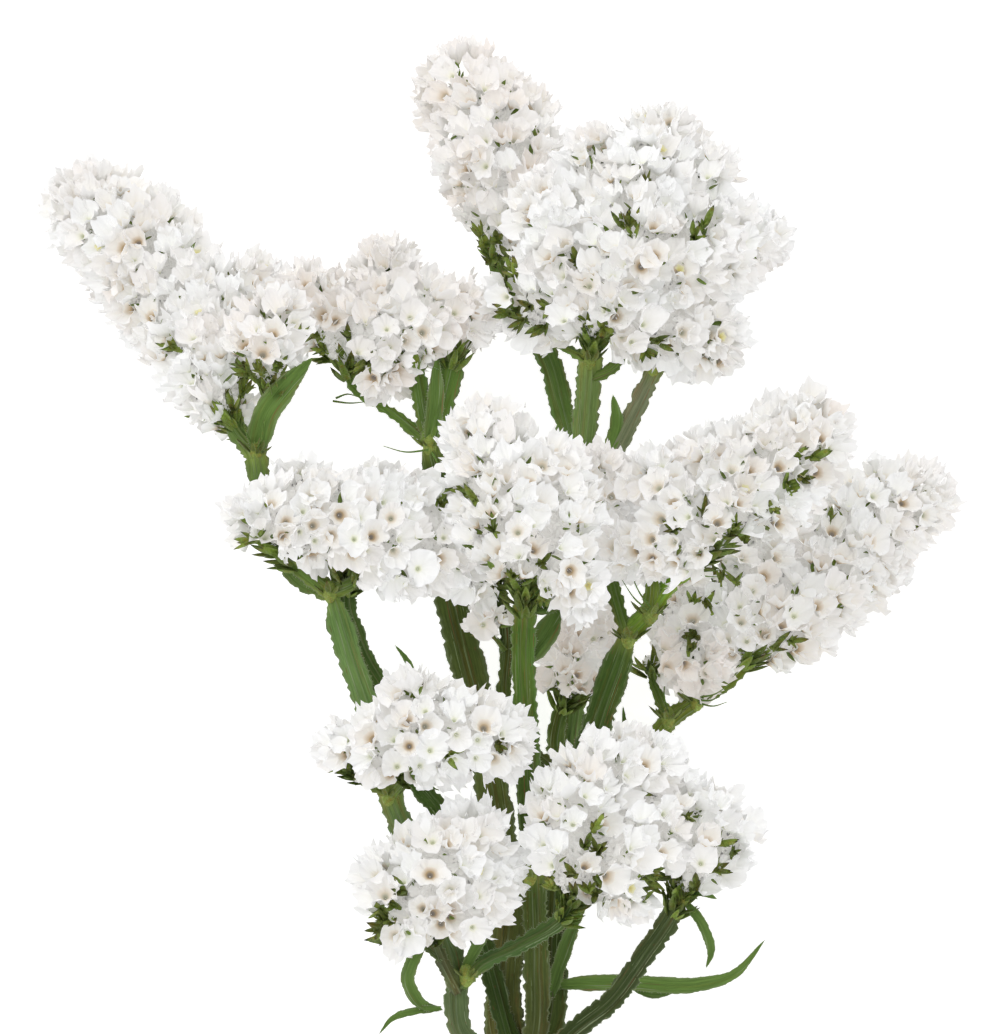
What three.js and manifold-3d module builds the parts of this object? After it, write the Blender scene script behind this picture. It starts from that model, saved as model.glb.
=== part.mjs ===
// Dried statice: one cut, branching spray, lying on its back. Millimetres.
// +Y runs from the cut end to the flowers, +X to the spray's right, +Z up from the surface.
// The origin lies on that surface, under the middle of the spray.
import * as THREE from "three";
import { mergeVertices } from "three/addons/utils/BufferGeometryUtils.js";
import Module from "manifold-3d";

const wasm = await Module();
wasm.setup();
const { Manifold, Mesh: RawMesh } = wasm;

// Driving dimensions.
const CLEARANCE = 0.5; // kept between green and white, and between two heads
const STATION = 15; // step along a winged stem, which is also the length of a wing's tooth
const TOOTH = 0.26; // share of a wing's reach that it loses between two teeth
const FADE = 13; // length over which a wing narrows before a stem's tip
const TIP_WIDTH = 3.6; // a stem's width where it enters a flower head
const KNUCKLE = 0.7; // share by which a branch is thicker at the fork that it grows from
const MIDDLE = { half: 0.3, rise: 0.42 }; // a stem's flat top and its height, in core thicknesses

// Whorls of blades: how far out and ahead their tips reach, the length of stem that each takes,
// and how far the first one is from the fork, or the last one from the flower head.
const BRACT = { reach: 8.2, rise: 4.4, step: 2.4, apart: 4.8 };
const APPENDAGE = { reach: 5.5, rise: 10, step: 2.6, apart: 3 };

// A leaf's outline is the part of a sine wave from start, for run, flattened by blunt; edge and
// rib are half its thickness at a pointed end, and what its middle adds.
const LEAF = { start: 0.2, run: 0.78, blunt: 0.8, edge: 0.25, rib: 0.55, steps: 4 };

// Calyces: how far apart, how far their rims stand out of the core, the share of its cell that a
// rim fills, how far up the throat's bottom lies, lobes, and how unevenly far the rims reach.
const CALYX = { spacing: 14.9, standOut: 8, fill: 0.93, throat: 0.42, lobes: 5, uneven: 1 };
const FIRST_LOBE = -0.75; // a rim's first lobe is at a cell's first corner, in half turns
const SPIN = 0.45; // how far a calyx is turned about its middle, in lobes
const BURIED = { earlier: -1, later: 2 }; // how deep in another spike a calyx is left out
const ROUND = 0.9; // share of a spike's girth that its calyces are counted over
const CORE = { least: 3.2, capTurn: 50, capLean: 0.2 }; // least radius; how the tip's row turns in
const SIDEWAYS = new THREE.Vector3(0.2, 0.1, 1); // what a spike's first side is square to
const SURFACE_BLOCK = 900; // the block that trims what would sink below the surface

const GREEN = new THREE.MeshStandardMaterial({ color: 0x4b7434, roughness: 0.7 });
const WHITE = new THREE.MeshStandardMaterial({ color: 0xf1f1f3, roughness: 0.85 });

// The lines of the tables below are laid out as they look from straight above: each place is a
// column and a row of a fine grid, then a height in millimetres. At the level height, step is the
// width of one column. From where the eye is, what is higher looks larger and further out.
const LAYOUT = { column: 500, row: 517, x: 2.56, y: 58.56, step: 0.32, level: 70, eye: 2000 };

// Winged stems and branches. route: the middle line; width: across both wings, at its start and
// end; core: the thickness of its middle; roll: how far its flat side is turned, in degrees;
// whorls: how many whorls of bracts stand round its tip, where it ends in a flower head;
// forks: true where it starts at a fork with appendages.
const STEMS = {
  stalk: {
    route: [
      [520, 1330, 2.8], [520, 1290, 4.2], [520, 1236, 14], [523, 1148, 32], [527, 1093, 44],
      [527, 1045, 50],
    ],
    width: [10, 13],
    core: 6,
  },
  left: {
    route: [
      [525, 1100, 44], [498, 1070, 52], [462, 1034, 60], [453, 960, 66], [430, 900, 72],
      [405, 835, 78], [390, 795, 82], [387, 770, 84], [371, 718, 84], [348, 650, 82],
      [331, 592, 80],
    ],
    width: [9.5, 9.5],
    core: 4,
    roll: 12,
  },
  to_top_left: {
    forks: true,
    route: [
      [331, 592, 80], [300, 578, 76], [283, 552, 70], [260, 487, 55], [254, 452, 50],
      [237, 430, 47], [228, 412, 44],
    ],
    width: [8, 8.5],
    core: 3.4,
    whorls: 2,
  },
  to_small_left: {
    route: [[254, 452, 50], [263, 425, 52], [270, 400, 53], [272, 378, 54]],
    width: [5, 5],
    core: 2.6,
    whorls: 2,
  },
  to_left_tip: {
    route: [[331, 592, 80], [300, 567, 82], [272, 543, 83]],
    width: [7.5, 6],
    core: 3,
    whorls: 3,
  },
  to_left_middle: {
    route: [[331, 592, 80], [352, 583, 84], [372, 562, 88]],
    width: [6, 4],
    core: 3,
    whorls: 2,
  },
  left_back: {
    route: [
      [515, 1060, 46], [470, 900, 50], [440, 812, 55], [412, 775, 58], [400, 720, 62],
      [386, 695, 64], [366, 662, 67], [352, 628, 70], [345, 600, 74], [354, 575, 78],
    ],
    width: [8, 8.5],
    core: 3.4,
    roll: -20,
    whorls: 2,
  },
  centre: {
    route: [
      [522, 1090, 42], [506, 1034, 42], [508, 900, 42], [498, 830, 42], [490, 780, 42],
      [475, 695, 44], [461, 640, 46], [450, 595, 48], [444, 540, 48], [437, 475, 46],
      [430, 445, 44],
    ],
    width: [14, 11.5],
    core: 4,
    roll: 8,
  },
  to_upper_left: {
    forks: true,
    route: [[430, 445, 44], [395, 415, 40], [365, 396, 37], [351, 384, 36], [348, 357, 36]],
    width: [5, 4],
    core: 2.2,
    whorls: 2,
  },
  to_upper_left_middle: {
    route: [[430, 445, 44], [421, 400, 44], [414, 350, 41]],
    width: [6.5, 7],
    core: 2.4,
    whorls: 2,
  },
  to_upper_left_edge: {
    route: [[430, 445, 44], [442, 402, 47], [455, 348, 45]],
    width: [8, 11],
    core: 2.6,
    whorls: 2,
  },
  front: {
    route: [
      [527, 1060, 50], [535, 1034, 56], [536, 960, 66], [534, 893, 76], [530, 800, 84],
      [528, 740, 90], [525, 700, 94], [523, 650, 98], [524, 602, 102], [522, 580, 104],
    ],
    width: [9.5, 8.6],
    core: 4,
    roll: -6,
    whorls: 3,
  },
  front_back: {
    route: [
      [562, 778, 58], [545, 762, 64], [520, 740, 68], [505, 700, 70], [507, 640, 73],
      [502, 600, 76], [490, 572, 80],
    ],
    width: [5.5, 5.5],
    core: 2.8,
    whorls: 2,
  },
  right: {
    route: [
      [527, 1060, 50], [545, 1034, 48], [552, 940, 50], [556, 860, 53], [561, 800, 56],
      [576, 772, 58], [592, 738, 60], [605, 700, 62], [620, 658, 64], [627, 636, 65],
    ],
    width: [12, 10.5],
    core: 4.4,
    roll: 15,
  },
  to_right_small: {
    forks: true,
    route: [[627, 636, 65], [616, 600, 66], [607, 560, 67], [603, 530, 68], [603, 507, 70]],
    width: [6, 6],
    core: 3,
    whorls: 2,
  },
  to_right: {
    forks: true,
    route: [[627, 636, 65], [649, 613, 68], [668, 586, 70], [692, 566, 74], [720, 541, 77]],
    width: [8, 5.5],
    core: 3.2,
    whorls: 3,
  },
  to_right_low: {
    route: [[649, 613, 68], [652, 585, 72], [648, 553, 74]],
    width: [6, 5],
    core: 2.6,
    whorls: 2,
  },
  upper: {
    route: [
      [530, 1080, 42], [560, 900, 33], [568, 760, 27], [575, 700, 24], [585, 620, 25],
      [583, 560, 31], [582, 465, 42], [587, 400, 48], [590, 360, 52], [594, 332, 56],
    ],
    width: [9, 9.6],
    core: 4,
    roll: -10,
    whorls: 2,
  },
  upper_left_arm: {
    route: [[590, 360, 52], [562, 346, 52], [537, 325, 51]],
    width: [4.5, 4],
    core: 2.6,
    whorls: 2,
  },
  upper_right_arm: {
    route: [
      [583, 560, 36], [598, 500, 40], [611, 460, 44], [635, 410, 50], [653, 372, 54],
      [667, 345, 57],
    ],
    width: [7, 7.6],
    core: 3,
    roll: 20,
    whorls: 2,
  },
  upper_cross_arm: {
    route: [[591, 378, 50], [610, 370, 51], [634, 343, 56]],
    width: [5, 4],
    core: 2.4,
  },
  to_top: {
    route: [
      [583, 560, 34], [586, 510, 32], [580, 470, 31], [571, 440, 30], [560, 400, 28.5],
      [551, 365, 27.5], [540, 340, 27], [515, 300, 26], [502, 272, 25], [496, 245, 25],
    ],
    width: [8, 9.5],
    core: 3.4,
    roll: 10,
    whorls: 2,
  },
  far_right: {
    route: [
      [532, 1070, 44], [546, 1034, 43], [555, 980, 41], [568, 930, 39], [598, 860, 36],
      [640, 780, 35], [669, 720, 33], [700, 697, 32], [738, 670, 31], [752, 650, 30],
    ],
    width: [7, 7.5],
    core: 3.4,
    roll: 14,
    whorls: 2,
  },
  to_far_right_low: {
    route: [[668, 719, 33], [656, 690, 34], [648, 666, 35]],
    width: [5.5, 4.5],
    core: 2.4,
    whorls: 1,
  },
  front_right: {
    route: [
      [530, 1085, 46], [570, 1034, 66], [612, 1000, 76], [643, 958, 84], [675, 910, 90],
      [685, 885, 94],
    ],
    width: [8, 7.5],
    core: 3.4,
    roll: -8,
    whorls: 3,
  },
  to_front_right: {
    forks: true,
    route: [[460, 985, 66], [480, 965, 72], [520, 945, 80], [560, 920, 88], [578, 893, 94]],
    width: [6.5, 6.5],
    core: 3.2,
    whorls: 3,
  },
  to_behind: {
    route: [[556, 770, 27], [556, 735, 33], [563, 708, 37], [570, 693, 39]],
    width: [7, 6.5],
    core: 2.8,
    whorls: 2,
  },
  to_front_low: {
    forks: true,
    route: [[457, 990, 66], [442, 960, 76], [429, 928, 90]],
    width: [6, 5],
    core: 3.2,
    whorls: 2,
  },
  to_front_low_edge: {
    route: [[441, 958, 77], [418, 941, 84], [392, 930, 90]],
    width: [4, 3.6],
    core: 2.4,
    whorls: 2,
  },
  to_front_left: {
    route: [[390, 795, 82], [400, 783, 90], [406, 765, 98]],
    width: [5, 4],
    core: 3,
    whorls: 2,
  },
  to_front_left_tip: {
    route: [[390, 795, 82], [366, 782, 90], [352, 765, 96]],
    width: [4.5, 4],
    core: 2.6,
    whorls: 2,
  },
  to_bud: {
    route: [[505, 650, 73], [498, 641, 74], [492, 635, 75]],
    width: [3, 3],
    core: 2,
  },
};

// Narrow leaves: the middle line and the greatest width.
const LEAVES = [
  { route: [[256, 450, 51], [268, 410, 56], [287, 385, 58], [312, 358, 58]], width: 8.6 },
  { route: [[430, 445, 45], [436, 400, 48], [437, 355, 48]], width: 6 },
  {
    route: [
      [547, 985, 48.5], [580, 983, 53], [620, 982, 55], [700, 984, 52], [732, 975, 51],
      [765, 940, 54],
    ],
    width: 5.6,
  },
  { route: [[630, 985, 54], [652, 994, 53], [678, 991, 53]], width: 3 },
  { route: [[549, 1000, 49], [566, 945, 58], [582, 905, 70]], width: 5 },
  {
    route: [[424, 942, 87], [412, 962, 85], [408, 982, 80], [420, 1003, 76], [443, 1010, 69]],
    width: 5,
  },
  { route: [[441, 1008, 71], [415, 1011, 76], [393, 1018, 78], [379, 1034, 79]], width: 2.6 },
  { route: [[608, 452, 46], [617, 425, 48], [613, 395, 50]], width: 5 },
  { route: [[464, 970, 69], [478, 945, 76], [498, 915, 82]], width: 4 },
  { route: [[686, 902, 91], [704, 928, 92], [711, 952, 88], [706, 968, 84]], width: 3.4 },
  { route: [[684, 898, 92], [700, 892, 95], [717, 899, 97]], width: 3 },
  { route: [[400, 722, 62], [413, 690, 65], [409, 664, 66], [395, 645, 66]], width: 3.2 },
  { route: [[640, 780, 35], [627, 740, 39], [623, 706, 41]], width: 3 },
  { route: [[525, 604, 101], [545, 606, 100], [567, 598, 98]], width: 6 },
  { route: [[526, 660, 96], [544, 636, 93], [560, 607, 90]], width: 8 },
];

// Flower heads, each of crowded spikes. A spike is a middle line with, at each place, the radius
// out to its calyces' rims: [column, row, height, radius]. A later spike starts inside an earlier
// one.
const HEADS = {
  head_front_left: [
    [[405, 765, 98, 5], [425, 738, 105, 14], [462, 732, 108, 14.5], [500, 740, 107, 11]],
    [[403, 762, 100, 5], [380, 745, 104, 12], [347, 745, 102, 9]],
    [[408, 755, 101, 5], [413, 705, 105, 11]],
  ],
  head_front_low: [
    [[429, 928, 90, 5], [430, 890, 100, 15], [448, 862, 104, 16], [468, 838, 103, 11.5]],
    [[435, 915, 95, 6], [465, 895, 102, 14], [488, 872, 101, 11]],
    [[428, 915, 94, 5], [396, 882, 101, 12]],
    [[425, 922, 92, 5], [398, 918, 98, 10]],
  ],
  head_front_right: [
    [
      [580, 893, 94, 5], [575, 850, 102, 14.5], [580, 805, 105, 15], [605, 772, 103, 14],
      [645, 768, 101, 12],
    ],
    [[590, 870, 98, 6], [625, 848, 105, 15.5], [655, 825, 104, 15], [682, 812, 101, 12]],
    [[590, 888, 95, 5], [622, 883, 99, 11]],
    [[685, 885, 94, 5], [695, 850, 99, 12.5], [702, 815, 98, 12.5]],
    [[690, 878, 95, 5], [718, 842, 97, 11.5], [733, 826, 96, 8.5]],
  ],
  head_centre: [
    [[522, 578, 104, 5], [515, 540, 106, 15], [505, 490, 104, 17.5], [488, 442, 97, 13.5]],
    [[526, 560, 104, 8], [548, 528, 104, 15.5], [545, 478, 102, 14]],
    [[526, 565, 104, 6], [560, 568, 104, 12.5], [577, 590, 103, 9]],
  ],
  head_left: [
    [
      [270, 540, 83, 5], [285, 517, 85, 13], [330, 520, 87, 15], [375, 528, 88, 17],
      [420, 538, 87, 19], [455, 543, 85, 15],
    ],
    [[272, 535, 83, 5], [258, 519, 84, 9.5]],
    [[292, 515, 83, 6], [303, 486, 80, 9.5]],
    [[385, 505, 84, 8], [374, 488, 82, 8.5]],
    [[455, 555, 86, 8], [482, 576, 88, 9]],
  ],
  head_right: [
    [[718, 543, 77, 5], [722, 510, 79, 14], [755, 470, 80, 15.5], [803, 438, 79, 14.5]],
    [[712, 535, 78, 5], [685, 508, 79, 13.5], [664, 484, 78, 12.5]],
    [[735, 510, 79, 8], [775, 487, 80, 13], [800, 470, 79, 11]],
    [[712, 543, 77, 5], [680, 540, 77, 12], [630, 541, 76, 12]],
    [[722, 498, 79, 9], [716, 464, 78, 12.5]],
  ],
  head_right_small: [
    [[603, 507, 70, 5], [598, 484, 72, 11]],
    [[601, 496, 71, 6], [622, 503, 72, 9]],
  ],
  head_upper_right: [
    [
      [594, 330, 56, 6], [615, 285, 62, 15], [632, 230, 64, 17], [650, 180, 58, 17],
      [660, 150, 52, 14],
    ],
    [[594, 328, 56, 6], [568, 304, 56, 14.5], [528, 298, 54, 13]],
    [[598, 300, 58, 8], [575, 260, 58, 15], [556, 212, 54, 14]],
    [[610, 292, 62, 10], [665, 265, 64, 16], [716, 243, 60, 17.5], [752, 237, 55, 11]],
    [[606, 312, 60, 8], [647, 313, 61, 16.5], [700, 332, 59, 14]],
    [[618, 290, 64, 8], [640, 245, 74, 14]],
    [[622, 215, 60, 7], [604, 187, 57, 12.5], [599, 165, 54, 12]],
    [[672, 206, 60, 8], [700, 178, 57, 12.5]],
  ],
  head_upper_left: [
    [[350, 356, 37, 5], [372, 335, 38, 14], [386, 300, 36, 13], [386, 270, 34, 10.5]],
    [[345, 357, 36, 5], [328, 325, 36, 11], [308, 297, 36, 11]],
    [[372, 335, 40, 8], [412, 325, 42, 13], [446, 314, 43, 14], [464, 314, 43, 10.5]],
    [[370, 333, 39, 8], [384, 366, 41, 9.5]],
  ],
  head_small_left: [
    [[272, 377, 54, 5], [266, 350, 55, 12], [272, 328, 56, 12]],
  ],
  head_behind: [
    [[570, 692, 39, 5], [573, 664, 41, 11.5], [589, 632, 41, 10]],
  ],
  head_far_right_low: [
    [[650, 662, 35, 4], [670, 655, 35, 9], [694, 660, 35, 10.5]],
  ],
  head_bud: [
    [[493, 634, 75, 3.4], [489, 618, 76, 6]],
  ],
  head_top_left: [
    [
      [228, 411, 44, 7], [213, 373, 36, 14], [194, 323, 25, 17.5], [157, 273, 17.5, 19],
      [121, 231, 16, 18.5], [91, 208, 13.5, 14.5],
    ],
    [[205, 345, 30, 8], [225, 302, 27, 13.5], [254, 292, 27, 11]],
  ],
  head_top: [
    [
      [496, 245, 25, 6], [506, 222, 23, 12.5], [507, 188, 20, 17.5], [502, 153, 18, 20],
      [485, 118, 16.5, 19], [465, 92, 14, 15.5],
    ],
    [[497, 245, 26, 4], [503, 240, 28, 9.5]],
  ],
  head_far_right: [
    [
      [752, 650, 30, 6], [775, 625, 27, 14], [807, 590, 24, 17.5], [843, 553, 18, 18.5],
      [882, 515, 15.5, 18], [911, 502, 12.5, 13.5],
    ],
    [[750, 648, 30, 6], [738, 612, 31, 14], [752, 570, 31, 14], [775, 537, 30, 11]],
    [[745, 652, 30, 6], [708, 630, 31, 12.5], [688, 600, 32, 12], [690, 575, 32, 10]],
  ],
};

/** A seeded source of numbers from 0 to 1, the same on each run. */
function seeded(seed) {
  let state = seed;
  return () => {
    state = (state + 0x6d2b79f5) | 0;
    let mixed = Math.imul(state ^ (state >>> 15), 1 | state);
    mixed = (mixed + Math.imul(mixed ^ (mixed >>> 7), 61 | mixed)) ^ mixed;
    return ((mixed ^ (mixed >>> 14)) >>> 0) / 4294967296;
  };
}

const vector = ([x, y, z]) => new THREE.Vector3(x, y, z);

/** How much smaller a thing is than it looks from above, for its height. */
const shrink = (height) => (LAYOUT.eye + LAYOUT.level - height) / LAYOUT.eye;

/** The point of a column, a row and a height. */
function placed([column, row, height]) {
  const step = LAYOUT.step * shrink(height);
  const x = LAYOUT.x + (column - LAYOUT.column) * step;
  return new THREE.Vector3(x, LAYOUT.y + (LAYOUT.row - row) * step, height);
}

const between = (random, low, high) => low + (high - low) * random();

/** The closed solid inside a geometry's faces. */
function solidOf(geometry) {
  geometry.deleteAttribute("normal");
  geometry.deleteAttribute("uv");
  const merged = mergeVertices(geometry, 1e-4);
  const mesh = { numProp: 3, vertProperties: merged.attributes.position.array };
  return new Manifold(new RawMesh({ ...mesh, triVerts: new Uint32Array(merged.index.array) }));
}

/** The geometry of a solid, for a three.js mesh. */
function geometryOf(solid) {
  const { vertProperties, triVerts } = solid.getMesh();
  const geometry = new THREE.BufferGeometry();
  geometry.setAttribute("position", new THREE.BufferAttribute(vertProperties, 3));
  geometry.setIndex(new THREE.BufferAttribute(triVerts, 1));
  return geometry;
}

/** A solid made from a list of points and of triangles between them. */
function solidFrom(points, triangles) {
  return solidOf(new THREE.BufferGeometry().setFromPoints(points).setIndex(triangles.flat()));
}

/** Triangles over a flat polygon of points, numbered in turn from a first one. */
function fan(first, sides) {
  return Array.from({ length: sides - 2 }, (_, side) => [first, first + side + 1, first + side + 2]);
}

const turnedOver = (triangles) => triangles.map(([a, b, c]) => [a, c, b]);

/** A solid skinned over rings of equally many points, with a flat cap at each end. */
function skinned(rings) {
  const sides = rings[0].length;
  const last = (rings.length - 1) * sides;
  const triangles = [...turnedOver(fan(0, sides)), ...fan(last, sides)];
  for (let start = 0; start < last; start += sides) {
    for (let side = 0; side < sides; side += 1) {
      const here = start + side;
      const next = start + ((side + 1) % sides);
      triangles.push([here, next, next + sides], [here, next + sides, here + sides]);
    }
  }
  return solidFrom(rings.flat(), triangles);
}

/** The middle of a curve's section, with its directions along, across and through. */
function sectionAt(curve, distance, roll) {
  const u = Math.min(1, distance / curve.getLength());
  const along = curve.getTangentAt(u);
  const across = along.clone().cross(new THREE.Vector3(0, 0, 1)).normalize();
  across.applyAxisAngle(along, THREE.MathUtils.degToRad(roll));
  return { middle: curve.getPointAt(u), along, across, through: along.clone().cross(across) };
}

/** Points of a flat outline set across a section. */
function ringOn({ middle, across, through }, outline) {
  return outline.map(([a, b]) => {
    return middle.clone().addScaledVector(across, a).addScaledVector(through, b);
  });
}

/** A ring whose every other point is drawn out to the tip of a pointed blade. */
function whorlRing({ section, ring }, parity, { reach, rise }) {
  return ring.map((point, index) => {
    if (index % 2 !== parity) return point;
    const out = point.clone().sub(section.middle).normalize();
    return section.middle.clone().addScaledVector(out, reach).addScaledVector(section.along, rise);
  });
}

/** A stem's section at a distance along it: thick in the middle, with a thin wing on each side. */
function stemSection({ curve, length, width, core, roll }, distance, leftTooth = false) {
  const section = sectionAt(curve, distance, roll);
  const full = THREE.MathUtils.lerp(width[0], width[1], distance / length);
  const kept = THREE.MathUtils.smoothstep(length - distance, 0, FADE);
  const reach = THREE.MathUtils.lerp(Math.min(TIP_WIDTH, full), full, kept) / 2;
  const thick = core * (1 + KNUCKLE * Math.exp(-distance / APPENDAGE.step));
  const [right, left] = leftTooth ? [1 - TOOTH, 1] : [1, 1 - TOOTH];
  const [a, b] = [reach * right, reach * left];
  const [c, t] = [thick * MIDDLE.half, thick * MIDDLE.rise];
  return { section, ring: ringOn(section, [[a, 0], [c, t], [-c, t], [-b, 0], [-c, -t], [c, -t]]) };
}

/** A winged stem with whorls of appendages after its fork and of bracts before its tip. */
function wingedStem({ route, width, core, roll = 0, whorls = 0, forks = false }) {
  const curve = new THREE.CatmullRomCurve3(route.map(placed));
  const length = curve.getLength();
  const stem = { curve, length, width, core, roll };
  const rings = [stemSection(stem, 0).ring];
  const addWhorl = (distance, parity, shape) => {
    rings.push(stemSection(stem, distance).ring);
    rings.push(whorlRing(stemSection(stem, distance + shape.step / 2), parity, shape));
  };
  if (forks) addWhorl(APPENDAGE.apart, 1, APPENDAGE);
  const from = forks ? APPENDAGE.apart + APPENDAGE.step : 0;
  const until = whorls ? length - BRACT.apart - whorls * BRACT.step : length;
  const steps = Math.max(1, Math.round((until - from) / STATION));
  for (let step = forks ? 0 : 1; step < steps; step += 1) {
    const distance = THREE.MathUtils.lerp(from, until, step / steps);
    rings.push(stemSection(stem, distance, step % 2 === 1).ring);
  }
  for (let whorl = 0; whorl < whorls; whorl += 1) {
    addWhorl(until + whorl * BRACT.step, whorl % 2, BRACT);
  }
  if (whorls) rings.push(stemSection(stem, length - BRACT.apart).ring);
  rings.push(stemSection(stem, whorls ? length - 2 * CLEARANCE : length).ring);
  return skinned(rings);
}

/** A narrow pointed leaf with a thicker midrib. */
function leaf({ route, width }) {
  const curve = new THREE.CatmullRomCurve3(route.map(placed));
  const length = curve.getLength();
  const steps = Math.max(LEAF.steps, Math.round(length / STATION));
  const rings = [];
  for (let step = 0; step <= steps; step += 1) {
    const swell = Math.sin(Math.PI * (LEAF.start + (LEAF.run * step) / steps)) ** LEAF.blunt;
    const [a, t] = [(width / 2) * swell, LEAF.edge + LEAF.rib * swell];
    const section = sectionAt(curve, (length * step) / steps, 0);
    rings.push(ringOn(section, [[a, 0], [0, t], [-a, 0], [0, -t]]));
  }
  return skinned(rings);
}

/** A spike as a curve, with the radius at each share of its length. */
function spikeOf(places, seed) {
  const curve = new THREE.CatmullRomCurve3(places.map(placed));
  const radii = places.map(([, , height, radius]) => radius * shrink(height));
  const radiusAt = (u) => {
    const place = curve.getUtoTmapping(u) * (radii.length - 1);
    const index = Math.min(Math.floor(place), radii.length - 2);
    return THREE.MathUtils.lerp(radii[index], radii[index + 1], place - index);
  };
  const widest = Math.max(...radii);
  const sides = Math.max(4, Math.round((2 * Math.PI * widest * ROUND) / CALYX.spacing));
  return { curve, radiusAt, length: curve.getLength(), sides, seed };
}

/** A ring of a spike: points on its core, and points out at its calyces' rims. */
function spikeRing({ curve, radiusAt, sides }, random, { u, turn, rise, ahead }, grow) {
  const along = curve.getTangentAt(u);
  const across = along.clone().cross(SIDEWAYS).normalize();
  const middle = curve.getPointAt(u).addScaledVector(along, ahead * grow);
  const radius = radiusAt(u) + grow;
  const coreRadius = Math.max(CORE.least + grow, radius - CALYX.standOut);
  const ring = { inner: [], outer: [], middle, along, radius };
  for (let side = 0; side < sides; side += 1) {
    const out = across.clone().applyAxisAngle(along, ((side + turn) / sides) * 2 * Math.PI);
    out.multiplyScalar(Math.cos(rise)).addScaledVector(along, Math.sin(rise));
    const reach = radius + between(random, -CALYX.uneven, CALYX.uneven);
    ring.inner.push(middle.clone().addScaledVector(out, coreRadius));
    ring.outer.push(middle.clone().addScaledVector(out, reach));
  }
  return ring;
}

/** A spike's rings, each turned by half a calyx from the one before, and one for its round tip. */
function spikeRings(spike, random, grow) {
  const rows = Math.max(1, Math.round(spike.length / CALYX.spacing));
  const rings = Array.from({ length: rows + 1 }, (_, row) => {
    const place = { u: row / rows, turn: row / 2, rise: 0, ahead: row === 0 ? -1 : 0 };
    return spikeRing(spike, random, place, grow);
  });
  const rise = THREE.MathUtils.degToRad(CORE.capTurn);
  rings.push(spikeRing(spike, random, { u: 1, turn: (rows + 1) / 2, rise, ahead: 0 }, grow));
  return rings;
}

/** The mean of some points. */
function meanOf(points) {
  return points.reduce((sum, point) => sum.add(point), new THREE.Vector3()).divideScalar(points.length);
}

/** The rim of a calyx that fills a four-cornered cell: its lobes' tips, started near one corner. */
function rimIn([a, b, c, d], spin) {
  return Array.from({ length: CALYX.lobes }, (_, lobe) => {
    const angle = (FIRST_LOBE + (2 * (lobe + spin)) / CALYX.lobes) * Math.PI;
    const [x, y] = [Math.cos(angle), Math.sin(angle)];
    const scale = CALYX.fill / Math.max(Math.abs(x), Math.abs(y)) / 2;
    const [s, t] = [0.5 + x * scale, 0.5 + y * scale];
    return a.clone().lerp(b, s).lerp(d.clone().lerp(c, s), t);
  });
}

/** Triangles of a funnel from a foot's outline up to a rim and down into the throat. */
function funnelFaces(foot, rim, throat, spin) {
  const triangles = rim.map((point, index) => [throat, point, rim[(index + 1) % rim.length]]);
  const [feet, lobes] = [foot.length, rim.length];
  let [i, k] = [0, 0];
  while (i < feet || k < lobes) {
    const footNext = i < feet && (k === lobes || (i + 1) / feet <= (k + 1 + spin) / lobes);
    if (footNext) triangles.push([foot[i], foot[(i + 1) % feet], rim[k % lobes]]);
    else triangles.push([foot[i % feet], rim[(k + 1) % lobes], rim[k % lobes]]);
    if (footNext) i += 1;
    else k += 1;
  }
  return triangles;
}

/** A calyx by itself with its rim grown a little, to test what it would touch. */
function probe({ foot, rim, throat, spin }) {
  const middle = meanOf(rim);
  const grown = rim.map((point) => point.clone().lerp(middle, -CLEARANCE / middle.distanceTo(point)));
  const points = [...foot, ...grown, throat];
  const numbers = points.map((_, index) => index);
  const [footNumbers, rimNumbers] = [numbers.slice(0, foot.length), numbers.slice(foot.length, -1)];
  const faces = funnelFaces(footNumbers, rimNumbers, points.length - 1, spin);
  return solidFrom(points, [...faces, ...turnedOver(fan(0, foot.length))]);
}

/** True if a point lies inside a spike, by more than a margin. */
function isInside(point, { curve, radiusAt }, margin) {
  const steps = 16;
  return Array.from({ length: steps + 1 }, (_, step) => step / steps).some((u) => {
    return curve.getPointAt(u).distanceTo(point) < radiusAt(u) - margin;
  });
}

/** The calyx for one cell between two of a spike's rings, with the numbers of its foot's points. */
function calyxIn(rings, row, side, random) {
  const { length } = rings[row].inner;
  const next = (side + 1) % length;
  const cell = [[row, side], [row, next], [row + 1, next], [row + 1, side]];
  const spin = between(random, -SPIN, SPIN);
  const foot = cell.map(([r, s]) => rings[r].inner[s]);
  const rim = rimIn(cell.map(([r, s]) => rings[r].outer[s]), spin);
  const throat = meanOf(foot).lerp(meanOf(rim), CALYX.throat);
  return { foot, rim, throat, spin, numbers: cell.map(([r, s]) => r * length + s) };
}

/** The calyx at a spike's tip. */
function calyxAtTip(rings) {
  const { inner, outer, middle, along, radius } = rings.at(-1);
  const tip = middle.clone().addScaledVector(along, radius);
  const rim = outer.map((point) => point.clone().lerp(tip, CORE.capLean));
  const throat = meanOf(inner).lerp(tip, CALYX.throat);
  const first = (rings.length - 1) * inner.length;
  return { foot: inner, rim, throat, spin: 0, numbers: inner.map((_, index) => first + index) };
}

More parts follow.
